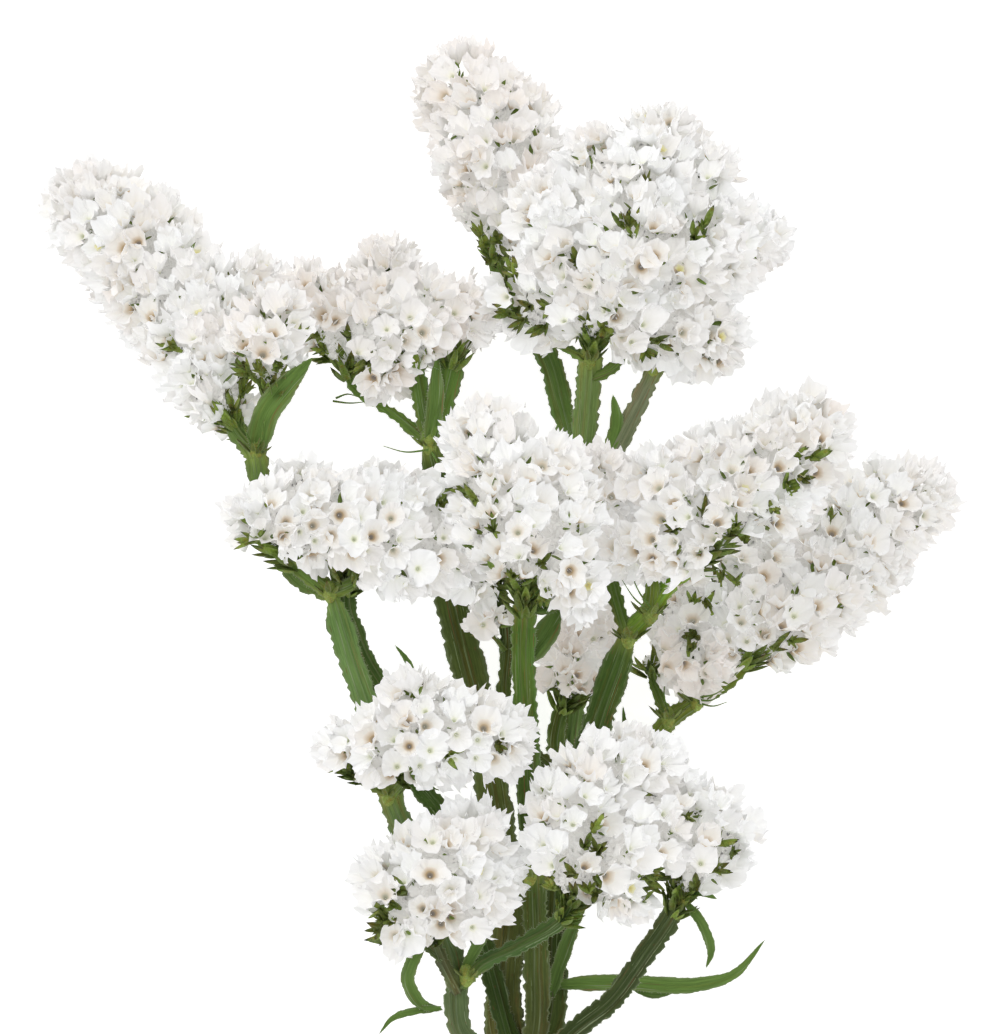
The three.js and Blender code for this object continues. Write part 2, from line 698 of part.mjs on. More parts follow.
/** A spike: its core, with a calyx raised from each cell of its surface that has room for one. */
function spikeSolid(spike, isFree, grow = 0) {
  const random = seeded(spike.seed);
  const rings = spikeRings(spike, random, grow);
  const points = rings.flatMap(({ inner }) => inner);
  const triangles = turnedOver(fan(0, spike.sides));
  const raise = ({ rim, throat, spin, numbers }) => {
    const rimNumbers = rim.map((_, index) => points.length + index);
    points.push(...rim, throat);
    triangles.push(...funnelFaces(numbers, rimNumbers, points.length - 1, spin));
  };
  for (let row = 0; row + 1 < rings.length; row += 1) {
    for (let side = 0; side < spike.sides; side += 1) {
      const calyx = calyxIn(rings, row, side, random);
      const [a, b, c, d] = calyx.numbers;
      if (isFree(calyx)) raise(calyx);
      else triangles.push([a, b, c], [a, c, d]);
    }
  }
  raise(calyxAtTip(rings));
  return solidFrom(points, triangles);
}

/** A head's spikes without their side calyces. */
function bareHead({ spikes }, grow) {
  return Manifold.union(spikes.map((spike) => spikeSolid(spike, () => false, grow)));
}

/** A head's spikes with their calyces, clear of what other things have taken. */
function fullHead({ spikes }, taken) {
  const solids = spikes.map((spike, index) => {
    const isFree = (calyx) => {
      const middle = meanOf(calyx.rim);
      const buried = spikes.some((other, place) => {
        const margin = place < index ? BURIED.earlier : BURIED.later;
        return other !== spike && isInside(middle, other, margin);
      });
      return !buried && probe(calyx).intersect(taken).isEmpty();
    };
    return spikeSolid(spike, isFree);
  });
  return Manifold.union(solids);
}

/** A block that holds a head with room round it. */
function blockRound(solid) {
  const { min, max } = solid.boundingBox();
  const box = new THREE.Box3(vector(min), vector(max)).expandByScalar(CALYX.spacing);
  const size = box.getSize(new THREE.Vector3());
  const block = new THREE.BoxGeometry(size.x, size.y, size.z);
  return solidOf(block.translate(...box.getCenter(new THREE.Vector3())));
}

/** A solid without what lies below the surface, and without loose scraps. */
function trimmed(solid) {
  const block = new THREE.BoxGeometry(SURFACE_BLOCK, SURFACE_BLOCK, SURFACE_BLOCK);
  block.translate(0, 0, -SURFACE_BLOCK / 2);
  const bodies = solid.subtract(solidOf(block)).decompose();
  return bodies.reduce((most, body) => (body.volume() > most.volume() ? body : most));
}

function meshOf(name, solid, material) {
  const mesh = new THREE.Mesh(geometryOf(solid), material);
  mesh.name = name;
  return mesh;
}

/** The green body, cut clear of the heads' cores, and the heads with calyces clear of it. */
function spray() {
  const heads = Object.entries(HEADS).map(([name, table]) => {
    return { name, spikes: table.map((places, index) => spikeOf(places, index + 1)) };
  });
  const rooms = Manifold.union(heads.map((head) => bareHead(head, CLEARANCE)));
  const parts = [...Object.values(STEMS).map(wingedStem), ...LEAVES.map(leaf)];
  const green = trimmed(Manifold.union(parts).subtract(rooms));
  const group = new THREE.Group();
  group.add(meshOf("stems", green, GREEN));

  for (const head of heads) head.solid = bareHead(head, 0);
  for (const head of heads) {
    const others = heads.filter((other) => other !== head).map(({ solid }) => solid);
    const taken = Manifold.union([green, ...others]).intersect(blockRound(head.solid));
    head.solid = trimmed(fullHead(head, taken));
    group.add(meshOf(head.name, head.solid, WHITE));
  }
  return group;
}

export default spray();
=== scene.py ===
"""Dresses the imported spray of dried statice: papery calyces, green bracts and winged stems."""
import math

import bpy
import numpy as np
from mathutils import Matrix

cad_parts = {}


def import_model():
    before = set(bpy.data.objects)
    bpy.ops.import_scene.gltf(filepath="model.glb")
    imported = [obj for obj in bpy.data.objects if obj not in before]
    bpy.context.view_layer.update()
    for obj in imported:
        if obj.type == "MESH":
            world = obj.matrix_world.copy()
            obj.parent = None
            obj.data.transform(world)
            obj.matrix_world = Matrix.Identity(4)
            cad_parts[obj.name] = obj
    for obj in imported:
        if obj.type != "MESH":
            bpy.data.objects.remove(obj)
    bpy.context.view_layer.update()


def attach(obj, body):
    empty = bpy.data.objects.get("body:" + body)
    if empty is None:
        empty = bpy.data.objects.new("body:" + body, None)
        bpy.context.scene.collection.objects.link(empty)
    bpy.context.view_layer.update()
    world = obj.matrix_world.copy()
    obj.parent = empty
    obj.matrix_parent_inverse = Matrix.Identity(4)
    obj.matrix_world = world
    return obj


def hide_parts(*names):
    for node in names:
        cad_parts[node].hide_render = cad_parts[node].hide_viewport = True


MM = 0.001

# The tables give each place as it is seen from straight above: its column, its row and its
# height above the surface in millimetres, with a radius in millimetres where there is a fourth
# number. At the height SHARP one column or row is STEP millimetres wide, seen from EYE above.
VIEW_MIDDLE = (500, 517)
VIEW_OVER = (2.56, 58.56)
STEP = 0.32
SHARP = 70
EYE = 2000

STEMS = {
    "stalk": dict(
        route=[
            (520, 1330, 2.8), (520, 1290, 4.2), (520, 1236, 14), (523, 1148, 32), (527, 1093, 44),
            (527, 1045, 50),
        ],
        width=(10, 13), core=6,
    ),
    "left": dict(
        route=[
            (525, 1100, 44), (498, 1070, 52), (462, 1034, 60), (453, 960, 66), (430, 900, 72),
            (405, 835, 78), (390, 795, 82), (387, 770, 84), (371, 718, 84), (348, 650, 82),
            (331, 592, 80),
        ],
        width=(9.5, 9.5), core=4, roll=12,
    ),
    "to_top_left": dict(
        route=[
            (331, 592, 80), (300, 578, 76), (283, 552, 70), (260, 487, 55), (254, 452, 50),
            (237, 430, 47), (228, 412, 44),
        ],
        width=(8, 8.5), core=3.4, whorls=2, forks=True,
    ),
    "to_small_left": dict(
        route=[(254, 452, 50), (263, 425, 52), (270, 400, 53), (272, 378, 54)],
        width=(5, 5), core=2.6, whorls=2,
    ),
    "to_left_tip": dict(
        route=[(331, 592, 80), (300, 567, 82), (272, 543, 83)],
        width=(7.5, 6), core=3, whorls=3,
    ),
    "to_left_middle": dict(
        route=[(331, 592, 80), (352, 583, 84), (372, 562, 88)],
        width=(6, 4), core=3, whorls=2,
    ),
    "left_back": dict(
        route=[
            (515, 1060, 46), (470, 900, 50), (440, 812, 55), (412, 775, 58), (400, 720, 62),
            (386, 695, 64), (366, 662, 67), (352, 628, 70), (345, 600, 74), (354, 575, 78),
        ],
        width=(8, 8.5), core=3.4, roll=-20, whorls=2,
    ),
    "centre": dict(
        route=[
            (522, 1090, 42), (506, 1034, 42), (508, 900, 42), (498, 830, 42), (490, 780, 42),
            (475, 695, 44), (461, 640, 46), (450, 595, 48), (444, 540, 48), (437, 475, 46),
            (430, 445, 44),
        ],
        width=(14, 11.5), core=4, roll=8,
    ),
    "to_upper_left": dict(
        route=[(430, 445, 44), (395, 415, 40), (365, 396, 37), (351, 384, 36), (348, 357, 36)],
        width=(5, 4), core=2.2, whorls=2, forks=True,
    ),
    "to_upper_left_middle": dict(
        route=[(430, 445, 44), (421, 400, 44), (414, 350, 41)],
        width=(6.5, 7), core=2.4, whorls=2,
    ),
    "to_upper_left_edge": dict(
        route=[(430, 445, 44), (442, 402, 47), (455, 348, 45)],
        width=(8, 11), core=2.6, whorls=2,
    ),
    "front": dict(
        route=[
            (527, 1060, 50), (535, 1034, 56), (536, 960, 66), (534, 893, 76), (530, 800, 84),
            (528, 740, 90), (525, 700, 94), (523, 650, 98), (524, 602, 102), (522, 580, 104),
        ],
        width=(9.5, 8.6), core=4, roll=-6, whorls=3,
    ),
    "front_back": dict(
        route=[
            (562, 778, 58), (545, 762, 64), (520, 740, 68), (505, 700, 70), (507, 640, 73),
            (502, 600, 76), (490, 572, 80),
        ],
        width=(5.5, 5.5), core=2.8, whorls=2,
    ),
    "right": dict(
        route=[
            (527, 1060, 50), (545, 1034, 48), (552, 940, 50), (556, 860, 53), (561, 800, 56),
            (576, 772, 58), (592, 738, 60), (605, 700, 62), (620, 658, 64), (627, 636, 65),
        ],
        width=(12, 10.5), core=4.4, roll=15,
    ),
    "to_right_small": dict(
        route=[(627, 636, 65), (616, 600, 66), (607, 560, 67), (603, 530, 68), (603, 507, 70)],
        width=(6, 6), core=3, whorls=2, forks=True,
    ),
    "to_right": dict(
        route=[(627, 636, 65), (649, 613, 68), (668, 586, 70), (692, 566, 74), (720, 541, 77)],
        width=(8, 5.5), core=3.2, whorls=3, forks=True,
    ),
    "to_right_low": dict(
        route=[(649, 613, 68), (652, 585, 72), (648, 553, 74)],
        width=(6, 5), core=2.6, whorls=2,
    ),
    "upper": dict(
        route=[
            (530, 1080, 42), (560, 900, 33), (568, 760, 27), (575, 700, 24), (585, 620, 25),
            (583, 560, 31), (582, 465, 42), (587, 400, 48), (590, 360, 52), (594, 332, 56),
        ],
        width=(9, 9.6), core=4, roll=-10, whorls=2,
    ),
    "upper_left_arm": dict(
        route=[(590, 360, 52), (562, 346, 52), (537, 325, 51)],
        width=(4.5, 4), core=2.6, whorls=2,
    ),
    "upper_right_arm": dict(
        route=[
            (583, 560, 36), (598, 500, 40), (611, 460, 44), (635, 410, 50), (653, 372, 54),
            (667, 345, 57),
        ],
        width=(7, 7.6), core=3, roll=20, whorls=2,
    ),
    "upper_cross_arm": dict(
        route=[(591, 378, 50), (610, 370, 51), (634, 343, 56)],
        width=(5, 4), core=2.4,
    ),
    "to_top": dict(
        route=[
            (583, 560, 34), (586, 510, 32), (580, 470, 31), (571, 440, 30), (560, 400, 28.5),
            (551, 365, 27.5), (540, 340, 27), (515, 300, 26), (502, 272, 25), (496, 245, 25),
        ],
        width=(8, 9.5), core=3.4, roll=10, whorls=2,
    ),
    "far_right": dict(
        route=[
            (532, 1070, 44), (546, 1034, 43), (555, 980, 41), (568, 930, 39), (598, 860, 36),
            (640, 780, 35), (669, 720, 33), (700, 697, 32), (738, 670, 31), (752, 650, 30),
        ],
        width=(7, 7.5), core=3.4, roll=14, whorls=2,
    ),
    "to_far_right_low": dict(
        route=[(668, 719, 33), (656, 690, 34), (648, 666, 35)],
        width=(5.5, 4.5), core=2.4, whorls=1,
    ),
    "front_right": dict(
        route=[
            (530, 1085, 46), (570, 1034, 66), (612, 1000, 76), (643, 958, 84), (675, 910, 90),
            (685, 885, 94),
        ],
        width=(8, 7.5), core=3.4, roll=-8, whorls=3,
    ),
    "to_front_right": dict(
        route=[(460, 985, 66), (480, 965, 72), (520, 945, 80), (560, 920, 88), (578, 893, 94)],
        width=(6.5, 6.5), core=3.2, whorls=3, forks=True,
    ),
    "to_behind": dict(
        route=[(556, 770, 27), (556, 735, 33), (563, 708, 37), (570, 693, 39)],
        width=(7, 6.5), core=2.8, whorls=2,
    ),
    "to_front_low": dict(
        route=[(457, 990, 66), (442, 960, 76), (429, 928, 90)],
        width=(6, 5), core=3.2, whorls=2, forks=True,
    ),
    "to_front_low_edge": dict(
        route=[(441, 958, 77), (418, 941, 84), (392, 930, 90)],
        width=(4, 3.6), core=2.4, whorls=2,
    ),
    "to_front_left": dict(
        route=[(390, 795, 82), (400, 783, 90), (406, 765, 98)],
        width=(5, 4), core=3, whorls=2,
    ),
    "to_front_left_tip": dict(
        route=[(390, 795, 82), (366, 782, 90), (352, 765, 96)],
        width=(4.5, 4), core=2.6, whorls=2,
    ),
    "to_bud": dict(
        route=[(505, 650, 73), (498, 641, 74), (492, 635, 75)],
        width=(3, 3), core=2,
    ),
}

# Narrow leaves: the middle line and the greatest width in millimetres.
LEAVES = [
    ([(256, 450, 51), (268, 410, 56), (287, 385, 58), (312, 358, 58)], 8.6),
    ([(430, 445, 45), (436, 400, 48), (437, 355, 48)], 6),
    (
        [
            (547, 985, 48.5), (580, 983, 53), (620, 982, 55), (700, 984, 52), (732, 975, 51),
            (765, 940, 54),
        ],
        5.6,
    ),
    ([(630, 985, 54), (652, 994, 53), (678, 991, 53)], 3),
    ([(549, 1000, 49), (566, 945, 58), (582, 905, 70)], 5),
    ([(424, 942, 87), (412, 962, 85), (408, 982, 80), (420, 1003, 76), (443, 1010, 69)], 5),
    ([(441, 1008, 71), (415, 1011, 76), (393, 1018, 78), (379, 1034, 79)], 2.6),
    ([(608, 452, 46), (617, 425, 48), (613, 395, 50)], 5),
    ([(464, 970, 69), (478, 945, 76), (498, 915, 82)], 4),
    ([(686, 902, 91), (704, 928, 92), (711, 952, 88), (706, 968, 84)], 3.4),
    ([(684, 898, 92), (700, 892, 95), (717, 899, 97)], 3),
    ([(400, 722, 62), (413, 690, 65), (409, 664, 66), (395, 645, 66)], 3.2),
    ([(640, 780, 35), (627, 740, 39), (623, 706, 41)], 3),
    ([(525, 604, 101), (545, 606, 100), (567, 598, 98)], 6),
    ([(526, 660, 96), (544, 636, 93), (560, 607, 90)], 8),
]

# Flower heads: each spike's middle line, with the radius out to its calyces' rims.
HEADS = {
    "head_front_left": [
        [(405, 765, 98, 5), (425, 738, 105, 14), (462, 732, 108, 14.5), (500, 740, 107, 11)],
        [(403, 762, 100, 5), (380, 745, 104, 12), (347, 745, 102, 9)],
        [(408, 755, 101, 5), (413, 705, 105, 11)],
    ],
    "head_front_low": [
        [(429, 928, 90, 5), (430, 890, 100, 15), (448, 862, 104, 16), (468, 838, 103, 11.5)],
        [(435, 915, 95, 6), (465, 895, 102, 14), (488, 872, 101, 11)],
        [(428, 915, 94, 5), (396, 882, 101, 12)],
        [(425, 922, 92, 5), (398, 918, 98, 10)],
    ],
    "head_front_right": [
        [
            (580, 893, 94, 5), (575, 850, 102, 14.5), (580, 805, 105, 15), (605, 772, 103, 14),
            (645, 768, 101, 12),
        ],
        [(590, 870, 98, 6), (625, 848, 105, 15.5), (655, 825, 104, 15), (682, 812, 101, 12)],
        [(590, 888, 95, 5), (622, 883, 99, 11)],
        [(685, 885, 94, 5), (695, 850, 99, 12.5), (702, 815, 98, 12.5)],
        [(690, 878, 95, 5), (718, 842, 97, 11.5), (733, 826, 96, 8.5)],
    ],
    "head_centre": [
        [(522, 578, 104, 5), (515, 540, 106, 15), (505, 490, 104, 17.5), (488, 442, 97, 13.5)],
        [(526, 560, 104, 8), (548, 528, 104, 15.5), (545, 478, 102, 14)],
        [(526, 565, 104, 6), (560, 568, 104, 12.5), (577, 590, 103, 9)],
    ],
    "head_left": [
        [
            (270, 540, 83, 5), (285, 517, 85, 13), (330, 520, 87, 15), (375, 528, 88, 17),
            (420, 538, 87, 19), (455, 543, 85, 15),
        ],
        [(272, 535, 83, 5), (258, 519, 84, 9.5)],
        [(292, 515, 83, 6), (303, 486, 80, 9.5)],
        [(385, 505, 84, 8), (374, 488, 82, 8.5)],
        [(455, 555, 86, 8), (482, 576, 88, 9)],
    ],
    "head_right": [
        [(718, 543, 77, 5), (722, 510, 79, 14), (755, 470, 80, 15.5), (803, 438, 79, 14.5)],
        [(712, 535, 78, 5), (685, 508, 79, 13.5), (664, 484, 78, 12.5)],
        [(735, 510, 79, 8), (775, 487, 80, 13), (800, 470, 79, 11)],
        [(712, 543, 77, 5), (680, 540, 77, 12), (630, 541, 76, 12)],
        [(722, 498, 79, 9), (716, 464, 78, 12.5)],
    ],
    "head_right_small": [
        [(603, 507, 70, 5), (598, 484, 72, 11)],
        [(601, 496, 71, 6), (622, 503, 72, 9)],
    ],
    "head_upper_right": [
        [
            (594, 330, 56, 6), (615, 285, 62, 15), (632, 230, 64, 17), (650, 180, 58, 17),
            (660, 150, 52, 14),
        ],
        [(594, 328, 56, 6), (568, 304, 56, 14.5), (528, 298, 54, 13)],
        [(598, 300, 58, 8), (575, 260, 58, 15), (556, 212, 54, 14)],
        [(610, 292, 62, 10), (665, 265, 64, 16), (716, 243, 60, 17.5), (752, 237, 55, 11)],
        [(606, 312, 60, 8), (647, 313, 61, 16.5), (700, 332, 59, 14)],
        [(618, 290, 64, 8), (640, 245, 74, 14)],
        [(622, 215, 60, 7), (604, 187, 57, 12.5), (599, 165, 54, 12)],
        [(672, 206, 60, 8), (700, 178, 57, 12.5)],
    ],
    "head_upper_left": [
        [(350, 356, 37, 5), (372, 335, 38, 14), (386, 300, 36, 13), (386, 270, 34, 10.5)],
        [(345, 357, 36, 5), (328, 325, 36, 11), (308, 297, 36, 11)],
        [(372, 335, 40, 8), (412, 325, 42, 13), (446, 314, 43, 14), (464, 314, 43, 10.5)],
        [(370, 333, 39, 8), (384, 366, 41, 9.5)],
    ],
    "head_small_left": [
        [(272, 377, 54, 5), (266, 350, 55, 12), (272, 328, 56, 12)],
    ],
    "head_behind": [
        [(570, 692, 39, 5), (573, 664, 41, 11.5), (589, 632, 41, 10)],
    ],
    "head_far_right_low": [
        [(650, 662, 35, 4), (670, 655, 35, 9), (694, 660, 35, 10.5)],
    ],
    "head_bud": [
        [(493, 634, 75, 3.4), (489, 618, 76, 6)],
    ],
    "head_top_left": [
        [
            (228, 411, 44, 7), (213, 373, 36, 14), (194, 323, 25, 17.5), (157, 273, 17.5, 19),
            (121, 231, 16, 18.5), (91, 208, 13.5, 14.5),
        ],
        [(205, 345, 30, 8), (225, 302, 27, 13.5), (254, 292, 27, 11)],
    ],
    "head_top": [
        [
            (496, 245, 25, 6), (506, 222, 23, 12.5), (507, 188, 20, 17.5), (502, 153, 18, 20),
            (485, 118, 16.5, 19), (465, 92, 14, 15.5),
        ],
        [(497, 245, 26, 4), (503, 240, 28, 9.5)],
    ],
    "head_far_right": [
        [
            (752, 650, 30, 6), (775, 625, 27, 14), (807, 590, 24, 17.5), (843, 553, 18, 18.5),
            (882, 515, 15.5, 18), (911, 502, 12.5, 13.5),
        ],
        [(750, 648, 30, 6), (738, 612, 31, 14), (752, 570, 31, 14), (775, 537, 30, 11)],
        [(745, 652, 30, 6), (708, 630, 31, 12.5), (688, 600, 32, 12), (690, 575, 32, 10)],
    ],
}

# Colours, as linear light.
LEAF_GREEN = (0.112, 0.200, 0.042)
FRESH_GREEN = (0.190, 0.290, 0.045)
NODE_YELLOW = (0.270, 0.370, 0.080)
EDGE_PALE = (0.300, 0.360, 0.200)
DRY_BROWN = (0.150, 0.070, 0.028)
HAIR_PALE = (0.420, 0.450, 0.300)
RACHIS_GREEN = (0.030, 0.050, 0.010)

# Each stem's colour, or its colours at its start and at its end. The others are leaf green.
STEM_TINTS = {
    "stalk": [(0.060, 0.075, 0.022)],
    "left": [(0.090, 0.120, 0.055), (0.160, 0.290, 0.076)],
    "to_top_left": [(0.120, 0.200, 0.045)],
    "to_small_left": [(0.120, 0.200, 0.045)],
    "to_left_tip": [(0.110, 0.190, 0.038), (0.120, 0.200, 0.035)],
    "to_left_middle": [(0.110, 0.190, 0.038), (0.120, 0.200, 0.035)],
    "left_back": [(0.045, 0.085, 0.015), (0.055, 0.105, 0.020)],
    "centre": [(0.140, 0.165, 0.045), (0.048, 0.090, 0.011)],
    "to_upper_left": [(0.100, 0.180, 0.030)],
    "to_upper_left_middle": [(0.105, 0.190, 0.035)],
    "to_upper_left_edge": [(0.105, 0.195, 0.035), (0.095, 0.180, 0.030)],
    "front": [(0.080, 0.098, 0.024), (0.074, 0.168, 0.024)],
    "front_back": [(0.060, 0.090, 0.016), (0.050, 0.080, 0.012)],
    "right": [(0.064, 0.095, 0.020), (0.056, 0.112, 0.018)],
    "to_right_small": [(0.085, 0.150, 0.022), (0.080, 0.140, 0.022)],
    "to_right": [(0.155, 0.305, 0.028)],
    "to_right_low": [(0.120, 0.180, 0.024), (0.110, 0.170, 0.024)],
    "upper": [(0.150, 0.270, 0.065), (0.145, 0.220, 0.065)],
    "upper_left_arm": [(0.110, 0.190, 0.036), (0.125, 0.220, 0.042)],
    "upper_right_arm": [(0.140, 0.180, 0.080), (0.190, 0.220, 0.125)],
    "upper_cross_arm": [(0.120, 0.200, 0.040), (0.125, 0.210, 0.042)],
    "far_right": [(0.115, 0.165, 0.022), (0.125, 0.175, 0.022)],
    "to_far_right_low": [(0.110, 0.180, 0.028), (0.100, 0.165, 0.026)],
    "front_right": [(0.034, 0.062, 0.009), (0.060, 0.088, 0.030)],
    "to_front_right": [(0.072, 0.140, 0.034), (0.075, 0.150, 0.034)],
    "to_behind": [(0.090, 0.150, 0.024), (0.075, 0.130, 0.020)],
    "to_front_low": [(0.080, 0.100, 0.045), (0.075, 0.110, 0.030)],
    "to_front_low_edge": [(0.060, 0.090, 0.022)],
}

# Swollen nodes: place, with the radius.
NODES = [
    (467, 975, 70, 2.8), (388, 795, 84, 2.6), (330, 592, 82, 2.6), (256, 452, 51, 2.4),
    (430, 445, 45, 2.6), (530, 875, 80, 2.6), (524, 603, 101, 3.0), (628, 637, 66, 2.8),
    (650, 613, 69, 2.8), (668, 718, 35, 2.6), (697, 701, 34, 2.4), (590, 360, 53, 2.4),
    (653, 366, 56, 2.4), (684, 894, 92, 2.6), (578, 893, 94, 2.4), (562, 776, 58, 2.2),
]

# Gaps in the flower heads where green shows: column, row and radius, in columns.
GAPS = [
    (340, 776, 9), (374, 792, 9), (392, 796, 8), (322, 786, 7), (336, 862, 5), (411, 890, 6),
    (366, 934, 12), (380, 908, 6), (566, 888, 17), (602, 882, 8), (594, 850, 4), (656, 884, 14),
    (690, 874, 10), (730, 852, 10), (538, 884, 8), (530, 594, 14), (512, 584, 8), (546, 562, 5),
    (448, 490, 4), (478, 488, 4), (492, 522, 3), (256, 546, 12), (272, 562, 10), (300, 582, 9),
    (344, 582, 12), (334, 342, 13), (318, 340, 10), (352, 368, 9), (256, 366, 11), (274, 374, 9),
    (646, 172, 4), (624, 222, 4), (572, 250, 5), (520, 316, 10), (536, 318, 10), (580, 330, 9),
    (604, 342, 8), (655, 346, 7), (484, 234, 8), (500, 264, 8), (708, 226, 6), (704, 494, 3),
    (672, 524, 3), (732, 564, 8), (716, 574, 7), (775, 646, 7), (690, 646, 7), (222, 394, 7),
    (800, 490, 7), (816, 458, 6), (892, 496, 4), (170, 350, 4), (500, 372, 4), (834, 505, 2),
    (766, 584, 2), (744, 527, 5), (780, 509, 4), (703, 600, 5), (801, 634, 3), (751, 660, 4),
    (598, 829, 2), (702, 821, 2), (494, 742, 5), (446, 758, 3),
]

# How much further out than a gap's circle no calyx stands, in columns.
GAP_MARGIN = 7

# Each head: how beige its paper has aged, and how many of its throats are brown, from 0 to 2.
HEAD_TONES = {
    "head_front_left": (0.02, 0.0), "head_front_low": (0.04, 0.2), "head_front_right": (0.02, 0.6),
    "head_centre": (0.04, 1.2), "head_left": (0.08, 0.3), "head_right": (0.10, 1.6),
    "head_right_small": (0.15, 1.6), "head_upper_right": (0.10, 0.9), "head_upper_left": (0.40, 0.8),
    "head_top": (0.35, 0.6), "head_top_left": (0.12, 1.0), "head_small_left": (0.25, 1.2),
    "head_behind": (0.60, 0.8), "head_far_right": (0.15, 2.0), "head_far_right_low": (0.60, 2.0),
    "head_bud": (0.30, 0.5),
}

# Ridges and grooves on the core between its two wings: angle, share of the girth, paleness.
RIDGES = [
    (0.9, 0.9, 0.0), (1.15, 1.22, 0.85), (1.4, 0.9, 0.0), (1.75, 0.9, 0.0), (2.0, 1.22, 0.7),
    (2.25, 0.9, 0.0),
]

# Thin stalks and dry threads.
THREADS = [
    [(336, 398, 38), (348, 394, 40), (361, 398, 40)],
    [(333, 401, 38), (350, 403, 40), (371, 401, 40)],
    [(366, 404, 38), (380, 408, 40), (396, 421, 40)],
    [(428, 450, 47), (405, 452, 50), (383, 446, 50)],
    [(432, 452, 47), (438, 464, 48), (441, 480, 46)],
    [(428, 782, 96), (434, 788, 96), (442, 791, 94)],
    [(699, 700, 36), (712, 700, 40), (728, 689, 40)],
    [(699, 697, 36), (715, 694, 40), (730, 684, 38)],
    [(699, 703, 36), (714, 706, 40), (727, 702, 38)],
    [(648, 610, 72), (634, 598, 76), (622, 580, 76)],
    [(650, 607, 72), (638, 590, 76), (630, 570, 76)],
    [(690, 568, 77), (706, 571, 80), (722, 570, 80)],
    [(690, 571, 77), (705, 576, 80), (719, 577, 78)],
    [(664, 712, 38), (655, 700, 42), (650, 684, 42)],
    [(668, 712, 38), (664, 694, 42), (666, 676, 42)],
    [(258, 448, 54), (262, 436, 56), (264, 420, 56)],
    [(252, 446, 54), (246, 432, 56), (243, 418, 54)],
    [(655, 362, 60), (664, 352, 62), (668, 342, 60)],
    [(530, 600, 104), (540, 590, 108), (552, 586, 106)],
]

# Stems, in millimetres along the stem: the steps between stations, how deep and how far apart a
# wing's teeth are, and how strongly and over what length a wing's edge sways.
STEM = {"step": 0.9, "tooth": 0.9, "pitch": (1.0, 3.0), "ruffle": 0.7, "wave": 5.0}
TOOTH_DEPTH = (0.2, 1.4)
TOOTH_CURVE = 0.7
FINE_RIPPLE = {"height": 0.2, "wave": 2.0}
FULL_RUFFLE = 2.5  # how wide a wing is where it sways in full
LEAST_EDGE = 0.9  # how close to the core a wing's edge comes, in shares of the core
WING_ROOT = 0.75
CORE_CORNER = 0.98 * math.sqrt(0.5)

# A wing's section: share of its width, height beside its middle, paleness.
WING_SECTION = [
    (0.30, -0.42, 0.05), (0.72, -0.26, 0.3), (1.0, 0.0, 1.0), (0.72, 0.26, 0.3), (0.30, 0.42, 0.05),
]

# How a stem twists, narrows towards its tip and swells where it forks off.
TWIST = {"degrees": 14, "wave": 45.0}
WIDTH = {"tip": 0.45, "taper": 9, "sway": 0.05, "wave": 9.0}
GIRTH = {"tip": 0.8, "taper": 12, "sway": 0.06, "wave": 7.0}
FORK_SWELLING = {"share": 0.35, "length": 4}
BLEND = {"sway": 0.2, "wave": 22.0, "yellow": 0.7, "reach": 4.5}
GRAIN_SHIFT = (0, 99)

# How much lighter or darker single pieces are.
BRACT_SHADES = THREAD_SHADES = (0.7, 1.3)
NODE_SHADES = (0.75, 1.05)
COLLAR_SHADES = (0.7, 1.15)
LEAF_SHADES = (0.75, 1.2)
TUFT_SHADES = (0.5, 1.2)
TUFT_BROWN = (0.0, 0.25)
AGED_SPREAD = 0.16
MARK_RANGE = (-2.5, 1.5)  # a throat's brown is drawn from it; a head's own tone raises its lower end

# Hairs on the wings' edges.
HAIR = {"share": 0.8, "lean": 0.9, "lift": 0.6, "length": (0.35, 0.95), "root": 0.15, "thick": 0.07}

# Swollen nodes: the ball's rows and columns, its half axes and its wrinkles.
BALL = {"rows": 9, "columns": 16, "pole": 0.05, "axes": (0.85, 1.4, 0.8)}
WRINKLE = {"folds": 5, "depth": 0.08, "rough": 0.02}

# Bracts, by where they grow: count, length and width in millimetres, how much the size varies.
NODE_SCALES = {"count": 9, "length": 4.8, "width": 1.8, "vary": 0.4}
COLLAR = {"count": 9, "length": 6.6, "width": 2.3, "vary": 0.45}
UNDER_CALYX = {"length": 4.4, "width": 1.7, "vary": 0.25}
TUFT = {"count": 9, "length": 5.6, "width": 1.8, "vary": 0.4}
COLLAR_STEP = 0.8
COLLAR_BACK = (1.0, 2.2)  # the first whorl's place back from a stem's tip, and the next ones'
BRACT_ROWS = 5
LOBE_ROWS = 4
BRACT_EDGE = [0.85, 0.0, 0.85]
BROWN_TIPS = (-1.2, 1.0)  # below zero is no brown
BRACT_GRAIN = (2.0, 8.0, 0.0)

# Leaves: a section from edge to edge as places across, heights and paleness.
LEAF_STEP = 0.9
LEAF_ACROSS = np.array([-1.0, -0.62, -0.12, 0.0, 0.12, 0.62, 1.0])
LEAF_HEIGHTS = np.array([0.28, 0.14, 0.05, -0.05, 0.05, 0.14, 0.28])
LEAF_EDGE = [0.9, 0.25, 0.0, 0.35, 0.0, 0.25, 0.9]
LEAF_TWIST = {"degrees": 12, "wave": 20.0}
LEAF_TAPER = {"foot": 0.12, "lower": 0.3, "upper": 0.4, "curve": 0.7, "sway": 0.06, "wave": 6.0}
LEAF_RIM = {"teeth": 0.3, "curl": 0.5, "wave": 5.0, "full": 2}
THREAD = {"step": 1.2, "thick": 0.42, "tip": 0.25, "sides": 5}

